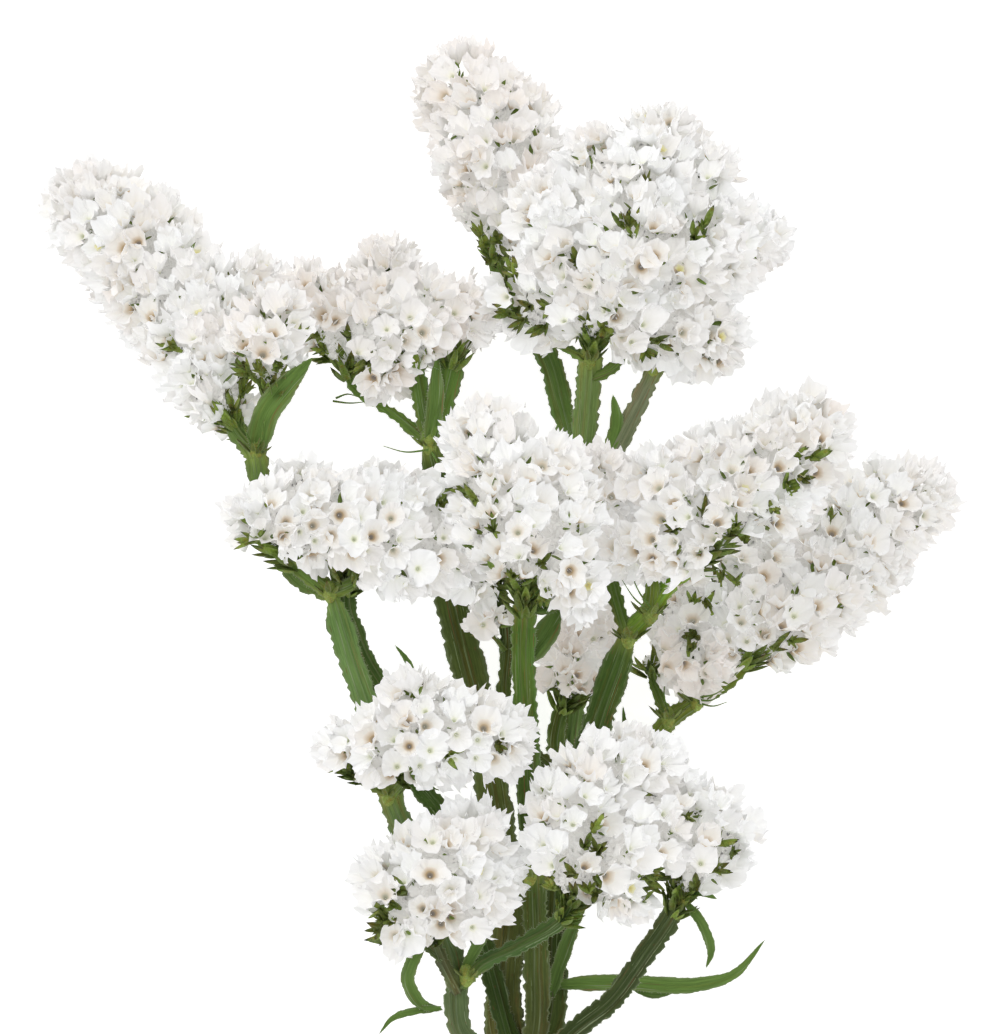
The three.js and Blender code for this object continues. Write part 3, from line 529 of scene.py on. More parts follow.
# Calyces in millimetres: how far apart round a spike and along it, how long, how wide at the rim.
FLORET = {"spacing": 7.4, "row": 6.0, "length": 8.2, "rim": 5.35}
LENGTH_SPREAD = (0.9, 1.08)
RIM_SPREAD = (0.84, 1.14)
SUNKEN = (0.0, 1.6)
SHORTEST = 0.92  # a calyx is at most this share of its spike's radius long
CLOSEST = 0.60  # the least distance between two calyces, in shares of the spacing
KINDS = 14
AROUND = 30

# A calyx's funnel from its foot to its rim: the share of the way, the radius, and the height of
# a flat and of an upright one.
FUNNEL_SHARE = np.array([0.0, 0.50, 0.70, 0.87, 1.0])
FUNNEL_RADIUS = np.array([0.03, 0.25, 0.57, 0.84, 1.0])
FUNNEL_FLAT = np.array([0.34, 0.56, 0.78, 0.95, 1.02])
FUNNEL_UPRIGHT = np.array([0.27, 0.48, 0.74, 0.99, 1.20])
CUPPED = 0.26  # how much narrower an upright one is at its rim
LOBES = 5

# How a head's calyces stand: how far they lean to the spike's tip, up and at random.
LEAN_ALONG = 0.55
LEAN_AT_TIP = 0.2
UP_IN_VIEW = np.array([0.0, 0.7, 0.7]) * 0.45
TURNED = 0.24
JITTER = {"place": 0.2, "tilt": 0.12, "along": 0.8}
THIN_SPIKE = 7  # no ring of calyces where a spike is thinner, except at its tip
BURIED_EARLIER = 0.10
BURIED_LATER = 0.22
PRESSED = 3.5  # how near the surface no calyx opens
SPIKE_STEP = 0.5
DEPTH_STEP = 1.5

# Paper between the open calyces: the grid's step, how far out it lies, its loose lobes.
PAPER_STEP = 2.4
PAPER_REACH = (0.36, 0.48)
PAPER_ENDS = 0.25
LOOSE_LOBES = 2
LOBE_LENGTH = {"most": 5.2, "share": 0.40, "spread": (0.7, 1.05)}
LOBE_WIDTH = (3.2, 5.2)
LOBE_TURNED = 0.45

# The open inside of a calyx: shares of its length, and its half width there.
INSIDE_SHARES = [0.33, 0.56, 0.80, 1.10]
INSIDE_WIDTHS = [0.0, 0.30, 0.60, 0.80]
INSIDE_TOP = 1.2

RACHIS = {"step": 2.0, "thick": 0.3, "sides": 8}

# Small flowers in a few throats.
OPEN_SHARE = 0.025
COROLLA = {"depth": 3.0, "sides": 20, "petal": 0.16, "radius": 1.5}
COROLLA_SHARES = np.array([0.15, 0.6, 1.0])
COROLLA_HEIGHTS = np.array([0.0, 0.9, 1.6])

# Materials: ramps from a place to a colour.
BLACK = (0.0, 0.0, 0.0)
WHITE = (1.0, 1.0, 1.0)
PLAIN_THROAT = [
    (0.0, (0.975, 0.978, 0.985)), (0.42, (0.97, 0.972, 0.955)),
    (0.64, (0.90, 0.91, 0.80)), (1.0, (0.40, 0.46, 0.20)),
]
BROWN_THROAT = [
    (0.0, (0.97, 0.97, 0.972)), (0.36, (0.94, 0.92, 0.87)),
    (0.53, (0.52, 0.35, 0.13)), (0.78, (0.14, 0.09, 0.03)),
]
COROLLA_YELLOWS = [(0.0, (0.80, 0.66, 0.20)), (0.6, (0.90, 0.86, 0.48)), (1.0, (0.95, 0.93, 0.74))]
BEIGE = (0.93, 0.87, 0.83)
VEIN_BROWN = (0.50, 0.42, 0.30)
BLOTCH_GREY = (0.86, 0.86, 0.86)
# Painted light: the calyx paper glows faintly of its own, lightening the shade between and inside the calyces
# as light through thin paper would.
PAPER_PAINTED_GLOW = {"colour": (1.0, 1.0, 0.98, 1.0), "strength": 0.105}
FLOOR_GLOW = {"colour": (1.0, 1.0, 1.0, 1.0), "strength": 0.5}
RED_BROWN = (0.26, 0.085, 0.045)

# The stage.
FLOOR_HALF = 3.0
LIGHT = {"place": (-0.9, 1.1, 1.9), "size": 1.4, "power": 8.0}
LIGHT_AIM = np.array([0.0, 0.05, 0.05])
WORLD_STRENGTH = 0.81
BOUNCES = 4
SENSOR = 36.0
COLUMNS = 1000
CLIP_END = 20.0


def placed(places):
    """Places of a table as metres, with the radius in a fourth column where there is one."""
    table = np.array(places, dtype=float)
    shrink = (EYE - (table[:, 2] - SHARP)) / EYE
    result = table * MM
    result[:, 0] = (VIEW_OVER[0] + (table[:, 0] - VIEW_MIDDLE[0]) * STEP * shrink) * MM
    result[:, 1] = (VIEW_OVER[1] + (VIEW_MIDDLE[1] - table[:, 1]) * STEP * shrink) * MM
    if table.shape[1] > 3:
        result[:, 3] = table[:, 3] * shrink * MM
    return result


def unit(vectors):
    """The vectors with length one."""
    return vectors / np.maximum(np.linalg.norm(vectors, axis=-1, keepdims=True), 1e-12)


def full_turn(count):
    """Even angles once round."""
    return np.linspace(0, 2 * math.pi, count, False)


def smooth(line, step):
    """Rows at even steps along the smooth curve through a table's rows."""
    gaps = np.linalg.norm(np.diff(line[:, :3], axis=0), axis=1)
    place = np.concatenate([[0], np.cumsum(gaps)])
    slope = np.gradient(line, place, axis=0)
    at = np.linspace(0, place[-1], max(3, int(round(place[-1] / step)) + 1))
    index = np.clip(np.searchsorted(place, at, side="right") - 1, 0, len(gaps) - 1)
    gap = gaps[index][:, None]
    t = (at - place[index])[:, None] / gap
    start, end = line[index], line[index + 1]
    leaving, arriving = slope[index] * gap, slope[index + 1] * gap
    return (
        (2 * t**3 - 3 * t**2 + 1) * start
        + (t**3 - 2 * t**2 + t) * leaving
        + (3 * t**2 - 2 * t**3) * end
        + (t**3 - t**2) * arriving
    )


def length_of(points):
    """How long a curve is."""
    return np.linalg.norm(np.diff(points, axis=0), axis=1).sum()


def drift(random, count, step, wave):
    """A slowly changing random value from -1 to 1 for each of some even steps."""
    length = max(count * step, wave)
    knots = random.uniform(-1, 1, int(length / wave) + 3)
    at = np.arange(count) * step / wave
    low = at.astype(int)
    t = at - low
    t = t * t * (3 - 2 * t)
    return knots[low] * (1 - t) + knots[low + 1] * t


def directions(points, roll=0.0):
    """Unit vectors along, across and out of a curve at each of its points."""
    nearly_up = (0.02, 0.01, 1.0)
    along = unit(np.gradient(points, axis=0))
    across = unit(np.cross(along, nearly_up))
    out = np.cross(across, along)
    angle = np.radians(roll)
    cos, sin = np.cos(angle), np.sin(angle)
    if np.ndim(angle):
        cos, sin = cos[:, None], sin[:, None]
    return along, across * cos + out * sin, out * cos - across * sin


def spokes(across, out, turn):
    """Directions away from a curve at some turns round it, for each of its points."""
    return across[:, None] * np.cos(turn)[None, :, None] + out[:, None] * np.sin(turn)[None, :, None]


def grid_faces(rows, columns, closed):
    """Triangles between the points of a grid, joined round where it is closed."""
    row, column = np.meshgrid(np.arange(rows - 1), np.arange(columns - (not closed)), indexing="ij")
    a = row * columns + column
    b = row * columns + (column + 1) % columns
    c, d = b + columns, a + columns
    return np.concatenate([np.stack([a, b, c], -1), np.stack([a, c, d], -1)]).reshape(-1, 3)


class Growth:
    """Collects points, triangles and each point's values, and makes one mesh of them."""

    def __init__(self):
        self.points = []
        self.faces = []
        self.values = {}
        self.count = 0

    def add(self, points, faces, **values):
        """Adds points and the triangles between them, with a value for each point by name."""
        points = np.asarray(points).reshape(-1, 3)
        self.points.append(points)
        self.faces.append(np.asarray(faces) + self.count)
        self.count += len(points)
        for name, value in values.items():
            three = np.ndim(value) and np.shape(value)[-1] == 3
            shape = (len(points), 3) if three else (len(points),)
            self.values.setdefault(name, []).append(np.broadcast_to(value, shape))

    def scatter(self, template, faces, origins, frames, **values):
        """Adds a copy of a template at each origin, turned and sized by its own frame."""
        copies, size = len(origins), template.shape[-2]
        points = np.einsum("npk,nkj->npj", np.broadcast_to(template, (copies, size, 3)), frames)
        points = points + origins[:, None]
        shifts = (np.arange(copies) * size)[:, None, None]
        spread = {}
        for name, value in values.items():
            value = np.asarray(value, dtype=float)
            full = (copies, size, 3) if value.shape[-1:] == (3,) else (copies, size)
            spread[name] = np.broadcast_to(value, full).reshape((copies * size,) + full[2:])
        self.add(points, (faces[None] + shifts).reshape(-1, 3), **spread)

    def lift(self):
        """Presses what would sink below the surface flat just above it."""
        lowest = 0.1 * MM
        for points in self.points:
            points[:, 2] = np.maximum(points[:, 2], lowest)

    def piece(self, name, material):
        """The piece made of all that was added, riding on the part."""
        mesh = bpy.data.meshes.new(name)
        mesh.from_pydata(np.concatenate(self.points), [], np.concatenate(self.faces))
        for key, value in self.values.items():
            value = np.concatenate(value).astype(np.float32)
            vector = value.ndim > 1
            layer = mesh.attributes.new(key, "FLOAT_VECTOR" if vector else "FLOAT", "POINT")
            layer.data.foreach_set("vector" if vector else "value", value.ravel())
        mesh.polygons.foreach_set("use_smooth", np.ones(len(mesh.polygons), dtype=bool))
        mesh.materials.append(material)
        mesh.update()
        made = bpy.data.objects.new(name, mesh)
        bpy.context.scene.collection.objects.link(made)
        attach(made, "root")
        return made


def toothed(random, count, step):
    """How far a wing's edge is drawn in at each step, between its irregular teeth."""
    result = np.zeros(count)
    at = 0.0
    while at < count * step:
        pitch = random.uniform(*STEM["pitch"])
        depth = random.uniform(*TOOTH_DEPTH)
        first, last = int(at / step), min(count, int((at + pitch) / step) + 1)
        share = (np.arange(first, last) * step - at) / pitch
        result[first:last] = depth * (1 - np.clip(share, 0, 1) ** TOOTH_CURVE)
        at += pitch
    return result


def wing(random, reach, core, angle, step):
    """The section points of one wing at each station, from one side of its root to the other."""
    count = len(reach)
    edge = reach - STEM["tooth"] * toothed(random, count, step)
    ruffle = STEM["ruffle"] * drift(random, count, step, STEM["wave"])
    ruffle = ruffle + FINE_RIPPLE["height"] * drift(random, count, step, FINE_RIPPLE["wave"])
    ruffle = ruffle * np.clip((reach - core) / FULL_RUFFLE, 0, 1)
    edge = np.maximum(edge, core * LEAST_EDGE)
    span = edge - core * WING_ROOT
    corner = core * CORE_CORNER
    points = [(corner, -corner)]
    points += [(core * WING_ROOT + share * span, side + share**2 * ruffle) for share, side, _ in WING_SECTION]
    cos, sin = math.cos(angle), math.sin(angle)
    return [(u * cos - v * sin, u * sin + v * cos) for u, v in points]


def tapered(from_tip, tip, taper):
    """A share that grows from a stem's tip to one over some millimetres."""
    return tip + (1 - tip) * np.clip(from_tip / taper, 0, 1)


def stem_section(random, half, girth):
    """The points round a stem at each station: two wings and the ridged core between them."""
    count, step = len(half), STEM["step"]
    ring, edges = [], []
    for turned in (0, math.pi):
        ring += wing(random, half, girth, turned, step)
        edges += [0.0] + [shown for _, _, shown in WING_SECTION]
        for angle, reach, shown in RIDGES:
            height = girth * reach * (1 + GIRTH["sway"] * drift(random, count, step, GIRTH["wave"]))
            ring.append((height * math.cos(turned + angle), height * math.sin(turned + angle)))
            edges.append(shown)
    u, v = (np.stack([np.broadcast_to(point[side], count) for point in ring], 1) for side in (0, 1))
    return u * MM, v * MM, edges


def winged_stem(growth, hairs, name, route, width, core, roll=0, forks=False):
    """A stem with a grooved core and two ragged wings beside it."""
    random = np.random.default_rng(sum(map(ord, name)))
    step = STEM["step"]
    points = smooth(placed(route), step * MM)
    count = len(points)
    share = np.linspace(0, 1, count)
    twist = roll + TWIST["degrees"] * drift(random, count, step, TWIST["wave"])
    along, across, out = directions(points, twist)
    from_start, from_tip = share * count * step, (1 - share) * count * step
    half = np.interp(share, [0, 1], width) / 2
    half = half * tapered(from_tip, WIDTH["tip"], WIDTH["taper"])
    half = half * (1 + WIDTH["sway"] * drift(random, count, step, WIDTH["wave"]))
    girth = core * 0.5 * tapered(from_tip, GIRTH["tip"], GIRTH["taper"])
    if forks or name.startswith("to_"):
        near = np.exp(-((from_start / FORK_SWELLING["length"]) ** 2))
        girth = girth * (1 + FORK_SWELLING["share"] * near)
    u, v, edges = stem_section(random, half, girth)
    body = points[:, None] + across[:, None] * u[..., None] + out[:, None] * v[..., None]
    tint = tint_of(name, points, random)
    columns = len(edges)
    grain = np.stack([u / MM, v / MM, np.broadcast_to(from_start[:, None], u.shape)], -1)
    grain = grain + random.uniform(*GRAIN_SHIFT, 3)
    last = (count - 1) * columns
    caps = [[0, i + 1, i] for i in range(1, columns - 1)]
    caps += [[last, last + i, last + i + 1] for i in range(1, columns - 1)]
    growth.add(
        body,
        np.concatenate([grid_faces(count, columns, True), np.array(caps)]),
        tint=np.repeat(tint, columns, axis=0),
        edge=np.tile(edges, count),
        grain=grain.reshape(-1, 3),
    )
    wing_tip = edges.index(1.0)
    for index, side in ((wing_tip, 1), (wing_tip + columns // 2, -1)):
        bristle(hairs, random, body[:, index], along, across * side, out)


def tint_of(name, points, random):
    """A stem's colour at each point, yellower near the swollen nodes."""
    tints = np.array(STEM_TINTS.get(name, [LEAF_GREEN]))
    start, end = tints[0], tints[-1]
    share = np.linspace(0, 1, len(points))[:, None]
    shade = 1 + BLEND["sway"] * drift(random, len(points), STEM["step"], BLEND["wave"])
    tint = (start * (1 - share) + end * share) * shade[:, None]
    nodes = placed(NODES)
    away = np.min(np.linalg.norm(points[:, None] - nodes[None, :, :3], axis=2), axis=1)
    yellow = BLEND["yellow"] * np.exp(-((away / (BLEND["reach"] * MM)) ** 2))[:, None]
    return tint * (1 - yellow) + np.array(NODE_YELLOW) * yellow


def bristle(hairs, random, roots, along, away, out):
    """Short pale hairs on a wing's edge."""
    chosen = np.flatnonzero(random.random(len(roots)) < HAIR["share"])
    count = len(chosen)
    lean = random.uniform(-HAIR["lean"], HAIR["lean"], (count, 1))
    lift = random.uniform(-HAIR["lift"], HAIR["lift"], (count, 1))
    direction = unit(away[chosen] + along[chosen] * lean + out[chosen] * lift)
    length = random.uniform(*HAIR["length"], (count, 1)) * MM
    root = roots[chosen] - direction * HAIR["root"] * MM
    thick = along[chosen] * HAIR["thick"] * MM
    tip = root + direction * (length + HAIR["root"] * MM)
    points = np.stack([root - thick, root + thick, tip], 1)
    faces = np.arange(count * 3).reshape(-1, 3)
    hairs.add(points, faces, tint=HAIR_PALE, edge=0.0, grain=(0.0, 0.0, 0.0))


def knuckle(growth, random, place):
    """A swollen node with a wrinkled skin and pointed scales."""
    rows, columns, pole = BALL["rows"], BALL["columns"], BALL["pole"]
    centre, radius = place[:3], place[3]
    heights = np.linspace(pole, math.pi - pole, rows)
    polar, turn = np.meshgrid(heights, full_turn(columns), indexing="ij")
    folds = np.sin(WRINKLE["folds"] * turn + random.uniform(0, 6)) * np.sin(polar)
    wrinkle = 1 + WRINKLE["depth"] * folds
    wrinkle = wrinkle + random.uniform(-WRINKLE["rough"], WRINKLE["rough"], turn.shape)
    ball = np.stack([np.sin(polar) * np.cos(turn), np.cos(polar), np.sin(polar) * np.sin(turn)], -1)
    points = centre + ball * BALL["axes"] * wrinkle[..., None] * radius
    tint = np.array(NODE_YELLOW) * random.uniform(*NODE_SHADES)
    grain = points.reshape(-1, 3) / MM
    growth.add(points, grid_faces(rows, columns, True), tint=tint, edge=0.0, grain=grain)
    count = NODE_SCALES["count"]
    angle = full_turn(count) + random.uniform(-0.4, 0.4, count)
    around = np.stack([np.cos(angle), random.uniform(-0.2, 0.2, count), np.sin(angle)], 1)
    origin = centre + around * radius * 0.75
    direction = unit(around * 0.75 + np.array([0.0, 0.8, 0.1]))
    bracts(growth, random, origin, direction, around, NODE_SCALES, np.array(NODE_YELLOW) * 0.6)


def blade_template(rows):
    """A unit blade: pointed and keeled along +y, one long and one wide, curving up to +z."""
    share = np.linspace(0, 1, rows)
    half = 0.5 * np.sin(math.pi * np.clip(0.16 + 0.84 * share, 0, 1)) ** 0.8 * (1 - 0.15 * share)
    half[-1] = 0.0
    across = np.array([-1.0, 0.0, 1.0])
    x = half[:, None] * across
    y = np.broadcast_to(share[:, None], x.shape)
    keel = 0.16 * np.abs(across)[None] * half[:, None] * 2
    z = keel + 0.18 * (share[:, None] ** 2)
    return np.stack([x, y, z], -1).reshape(-1, 3), grid_faces(rows, 3, False)


def frames_of(along, facing, width, length):
    """Rows that size and turn a blade: its +x, +y and +z in the part's own directions."""
    along = unit(along)
    side = unit(np.cross(along, facing))
    up = np.cross(side, along)
    return np.stack([side * width[:, None], along * length[:, None], up * length[:, None]], 1)


def bracts(growth, random, origins, along, facing, shape, tint):
    """Pointed bracts at some places."""
    template, faces = blade_template(BRACT_ROWS)
    count = len(origins)
    size = random.uniform(1 - shape["vary"], 1 + shape["vary"], count)
    frames = frames_of(along, facing, shape["width"] * size * MM, shape["length"] * size * MM)
    shade = random.uniform(*BRACT_SHADES, (count, 1, 1))
    share = np.repeat(np.linspace(0, 1, BRACT_ROWS), len(BRACT_EDGE))[None, :, None]
    brown = (share**3) * np.clip(random.uniform(*BROWN_TIPS, (count, 1, 1)), 0, 1)
    colour = tint * shade * (1 - brown) + np.array(DRY_BROWN) * brown
    grain = template[None] * np.array(BRACT_GRAIN) + random.uniform(*GRAIN_SHIFT, (count, 1, 3))
    edge = np.tile(BRACT_EDGE, BRACT_ROWS)
    growth.scatter(template, faces, origins, frames, tint=colour, edge=edge, grain=grain)


def collar(growth, random, route, whorls):
    """Whorls of pointed green bracts where a stem enters its flower head."""
    points = smooth(placed(route), COLLAR_STEP * MM)
    along, across, out = directions(points)
    reach = length_of(points) / MM
    count = COLLAR["count"]
    for whorl in range(2 * whorls):
        back = COLLAR_BACK[0] + COLLAR_BACK[1] * whorl
        if back > 0.8 * reach:
            return
        index = max(0, len(points) - 1 - int(back / COLLAR_STEP))
        angle = 2 * math.pi * (np.arange(count) + random.uniform(0, 1, count)) / count
        around = spokes(across[[index]], out[[index]], angle)[0]
        origin = points[index] + around * 1.3 * MM
        direction = unit(around * random.uniform(0.3, 0.9, (count, 1)) + along[index])
        tint = np.array(FRESH_GREEN) * random.uniform(*COLLAR_SHADES)
        bracts(growth, random, origin, direction, around, COLLAR, tint)


def leaf(growth, hairs, route, width, seed):
    """A narrow wavy leaf with a sunken midrib."""
    random = np.random.default_rng(seed)
    points = smooth(placed(route), LEAF_STEP * MM)
    count = len(points)
    share = np.linspace(0, 1, count)
    twist = LEAF_TWIST["degrees"] * drift(random, count, LEAF_STEP, LEAF_TWIST["wave"])
    along, across, out = directions(points, twist)
    lower = (share + LEAF_TAPER["foot"]) / LEAF_TAPER["lower"]
    upper = (1 - share) / LEAF_TAPER["upper"]
    half = 0.5 * width * np.clip(np.minimum(lower, upper), 0, 1) ** LEAF_TAPER["curve"]
    half = half * (1 + LEAF_TAPER["sway"] * drift(random, count, LEAF_STEP, LEAF_TAPER["wave"]))
    wide = np.clip(half / LEAF_RIM["full"], 0, 1)
    u, v = half[:, None] * LEAF_ACROSS, half[:, None] * LEAF_HEIGHTS
    for column, inward in ((0, 1), (-1, -1)):
        u[:, column] += inward * toothed(random, count, LEAF_STEP) * LEAF_RIM["teeth"] * wide
    for column in (0, -1):
        v[:, column] += LEAF_RIM["curl"] * drift(random, count, LEAF_STEP, LEAF_RIM["wave"]) * wide
    blade = points[:, None] + across[:, None] * u[..., None] * MM + out[:, None] * v[..., None] * MM
    tint = np.array(LEAF_GREEN) * random.uniform(*LEAF_SHADES)
    grain = np.stack([u, v, np.broadcast_to((share * count * LEAF_STEP)[:, None], u.shape)], -1)
    faces = grid_faces(count, len(LEAF_ACROSS), False)
    growth.add(blade, faces, tint=tint, edge=np.tile(LEAF_EDGE, count), grain=grain.reshape(-1, 3))
    bristle(hairs, random, blade[:, 0], along, -across, out)
    bristle(hairs, random, blade[:, -1], along, across, out)


def tube(growth, line, radius, sides, tint):
    """A plain tube along a line."""
    _, across, out = directions(line)
    body = line[:, None] + radius[:, None, None] * spokes(across, out, full_turn(sides))
    faces = grid_faces(len(line), sides, True)
    growth.add(body, faces, tint=tint, edge=0.0, grain=body.reshape(-1, 3) / MM)


def thread(growth, random, route):
    """A thin pointed thread."""
    points = smooth(placed(route), THREAD["step"] * MM)
    thick = THREAD["thick"] * MM * np.linspace(1.0, THREAD["tip"], len(points))
    tube(growth, points, thick, THREAD["sides"], np.array(LEAF_GREEN) * random.uniform(*THREAD_SHADES))


def rachis(greens, line):
    """The dark axis inside a spike."""
    points = smooth(line, RACHIS["step"] * MM)
    thick = points[:, 3] * RACHIS["thick"]
    tube(greens, points[:, :3], thick, RACHIS["sides"], np.array(RACHIS_GREEN))


def calyx_template(seed):
    """A calyx of unit size: a funnel opening to a wide ruffled papery rim of five lobes."""
    random = np.random.default_rng(seed)
    cup = random.uniform(0.0, 1.0)
    radius = FUNNEL_RADIUS * (1 - CUPPED * cup * FUNNEL_SHARE**2)
    height = FUNNEL_FLAT * (1 - cup) + FUNNEL_UPRIGHT * cup
    turn = full_turn(AROUND)
    phase = random.uniform(0, 2 * math.pi, 7)
    lobe = np.cos(LOBES * turn + phase[0])
    pleat = np.cos(7 * turn + phase[1]) + 0.6 * np.cos(11 * turn + phase[2])
    sway = np.cos(turn + phase[3]) * random.uniform(0.04, 0.2)
    fold = np.cos(2 * turn + phase[4]) * random.uniform(0.04, 0.22)
    flare = np.clip((FUNNEL_SHARE - 0.4) / 0.6, 0, 1)[:, None]
    fringe = random.uniform(-0.07, 0.03, (len(FUNNEL_SHARE), AROUND)) * flare**4
    r = radius[:, None] * (1 + flare * (0.05 * lobe + 0.05 * pleat + sway + 0.6 * fold) + fringe)
    ruffle = 0.06 * lobe - 0.11 * pleat + 0.8 * sway - fold + 0.06 * np.cos(9 * turn + phase[6])
    z = height[:, None] + flare**1.5 * ruffle + random.uniform(-0.02, 0.02, r.shape) * flare
    twist = turn + 0.10 * flare * np.sin(3 * turn + phase[5])
    points = np.stack([r * np.cos(twist), r * np.sin(twist), z], -1).reshape(-1, 3)
    throat = np.repeat(1 - FUNNEL_SHARE, AROUND)
    rib = np.tile(0.5 + 0.5 * lobe, len(FUNNEL_SHARE))
    return points, throat, rib


def ring_of(random, station, row, rise, lean):
    """One ring of calyces round a station of a spike, raised towards the spike's tip."""
    middle, radius, along, across, out = station
    girth = 2 * math.pi * radius * math.cos(rise)
    count = max(1, int(round(girth / (FLORET["spacing"] * MM))))
    found = []
    for place in range(count):
        shift = 0.5 * (row % 2) + random.uniform(-JITTER["place"], JITTER["place"])
        angle = 2 * math.pi * (place + shift) / count
        side = across * math.cos(angle) + out * math.sin(angle)
        tilt = rise + random.uniform(-JITTER["tilt"], JITTER["tilt"])
        normal = side * math.cos(tilt) + along * math.sin(tilt)
        slip = along * random.uniform(-JITTER["along"], JITTER["along"]) * MM
        rim = middle + normal * radius + slip
        facing = unit(normal + along * lean + UP_IN_VIEW + random.normal(0, TURNED, 3))
        found.append((rim, facing, radius))
    return found


def spike_places(random, line):
    """For each of a spike's calyces: its rim's centre, its direction and the spike's radius."""
    fine = smooth(line, SPIKE_STEP * MM)
    points, radius = fine[:, :3], fine[:, 3]
    stations = list(zip(points, radius, *directions(points)))
    tip = len(points) - 1
    rows = max(1, int(round(length_of(points) / (FLORET["row"] * MM))))
    found = []
    for row in range(rows + 1):
        index = min(tip, int(row / rows * tip))
        if radius[index] >= THIN_SPIKE * MM or index == tip:
            found += ring_of(random, stations[index], row, 0.0, LEAN_ALONG)
    turns = max(1, int(round(radius[tip] * math.pi / 2 / (FLORET["row"] * MM))))
    for row in range(1, turns + 1):
        rise = math.pi / 2 * row / turns
        found += ring_of(random, stations[tip], row + rows, rise, LEAN_AT_TIP)
    return found


def depth_in(points, line):
    """How deep each point lies inside a spike, in shares of the spike's radius."""
    fine = smooth(line, DEPTH_STEP * MM)
    away = np.linalg.norm(points[:, None] - fine[None, :, :3], axis=2) / fine[None, :, 3]
    return 1 - away.min(axis=1)


def in_gap(points):
    """Which points are seen from above inside one of the heads' green gaps."""
    gaps = np.array(GAPS, dtype=float)
    points = points / MM
    shrink = (EYE - (points[:, 2] - SHARP)) / EYE
    column = VIEW_MIDDLE[0] + (points[:, 0] - VIEW_OVER[0]) / (STEP * shrink)
    row = VIEW_MIDDLE[1] - (points[:, 1] - VIEW_OVER[1]) / (STEP * shrink)
    away = np.linalg.norm(np.stack([column, row], 1)[:, None] - gaps[None, :, :2], axis=2)
    return (away < gaps[None, :, 2] + GAP_MARGIN).any(axis=1)


def head_places(name, spikes):
    """A head's calyces, spread out and none buried, and the places left bare in its green gaps."""
    random = np.random.default_rng(sum(map(ord, name)) + 7)
    lines = [placed(spike) for spike in spikes]
    kept, bare = [], []
    for number, line in enumerate(lines):
        found = spike_places(random, line)
        rims = np.array([place[0] for place in found])
        hidden = rims[:, 2] < PRESSED * MM
        for other, other_line in enumerate(lines):
            if other != number:
                allowed = BURIED_LATER if other > number else BURIED_EARLIER
                hidden |= depth_in(rims, other_line) > allowed
        for place, buried, gap in zip(found, hidden, in_gap(rims)):
            if buried:
                continue
            if gap:
                bare.append(place)
                continue
            if kept:
                apart = np.linalg.norm(np.array([other[0] for other in kept]) - place[0], axis=1)
                if apart.min() < CLOSEST * FLORET["spacing"] * MM:
                    continue
            kept.append(place)
    return random, kept, bare


def open_calyces(growth, random, base, frames, tone):
    """A head's open calyces, each of one of some kinds, aged and marked by the head's tone."""
    aged, marked = tone
    kinds = [calyx_template(seed) for seed in range(KINDS)]
    kind_of = random.integers(0, len(kinds), len(base))
    faces = grid_faces(len(FUNNEL_SHARE), AROUND, True)
    for number, (points, throat, rib) in enumerate(kinds):
        mine = np.flatnonzero(kind_of == number)
        if not len(mine):
            continue
        old = np.clip(aged + random.normal(0, AGED_SPREAD, (len(mine), 1)), 0, 1)
        mark = np.clip(random.uniform(marked + MARK_RANGE[0], MARK_RANGE[1], (len(mine), 1)), 0, 1)
        growth.scatter(
            points, faces, base[mine], frames[mine], throat=throat, rib=rib, aged=old, mark=mark
        )


def dress_head(name, spikes, material, greens, corollas, tone):
    """A head of fine calyces in place of its CAD node, with green bracts under them."""
    random, kept, bare = head_places(name, spikes)
    for rim, facing, _ in bare:
        tuft(greens, random, rim, facing)
    count = len(kept)
    rims, facing, radius = (np.array(column) for column in zip(*kept))
    length = np.minimum(FLORET["length"] * MM, radius * SHORTEST) * random.uniform(*LENGTH_SPREAD, count)
    size = FLORET["rim"] * MM * random.uniform(*RIM_SPREAD, count)
    rims = rims - facing * (random.uniform(*SUNKEN, count) * MM)[:, None]
    base = rims - facing * length[:, None]
    side = unit(np.cross(facing, unit(random.normal(0, 1, (count, 3)))))
    third = np.cross(facing, side)
    frames = np.stack([side * size[:, None], third * size[:, None], facing * length[:, None]], 1)
    growth = Growth()
    open_calyces(growth, random, base, frames, tone)
    for spike in spikes:
        inner_paper(growth, random, placed(spike), base, facing, length, size)
    growth.lift()
    made = growth.piece(name + "_calyces", material)
    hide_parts(name)
    under_calyces(greens, random, base, facing)
    flowering = np.flatnonzero(random.random(count) < OPEN_SHARE)
    if len(flowering):
        middle = rims[flowering] - facing[flowering] * COROLLA["depth"] * MM
        corolla(corollas, random, middle, facing[flowering])
    for spike in spikes:
        rachis(greens, placed(spike))


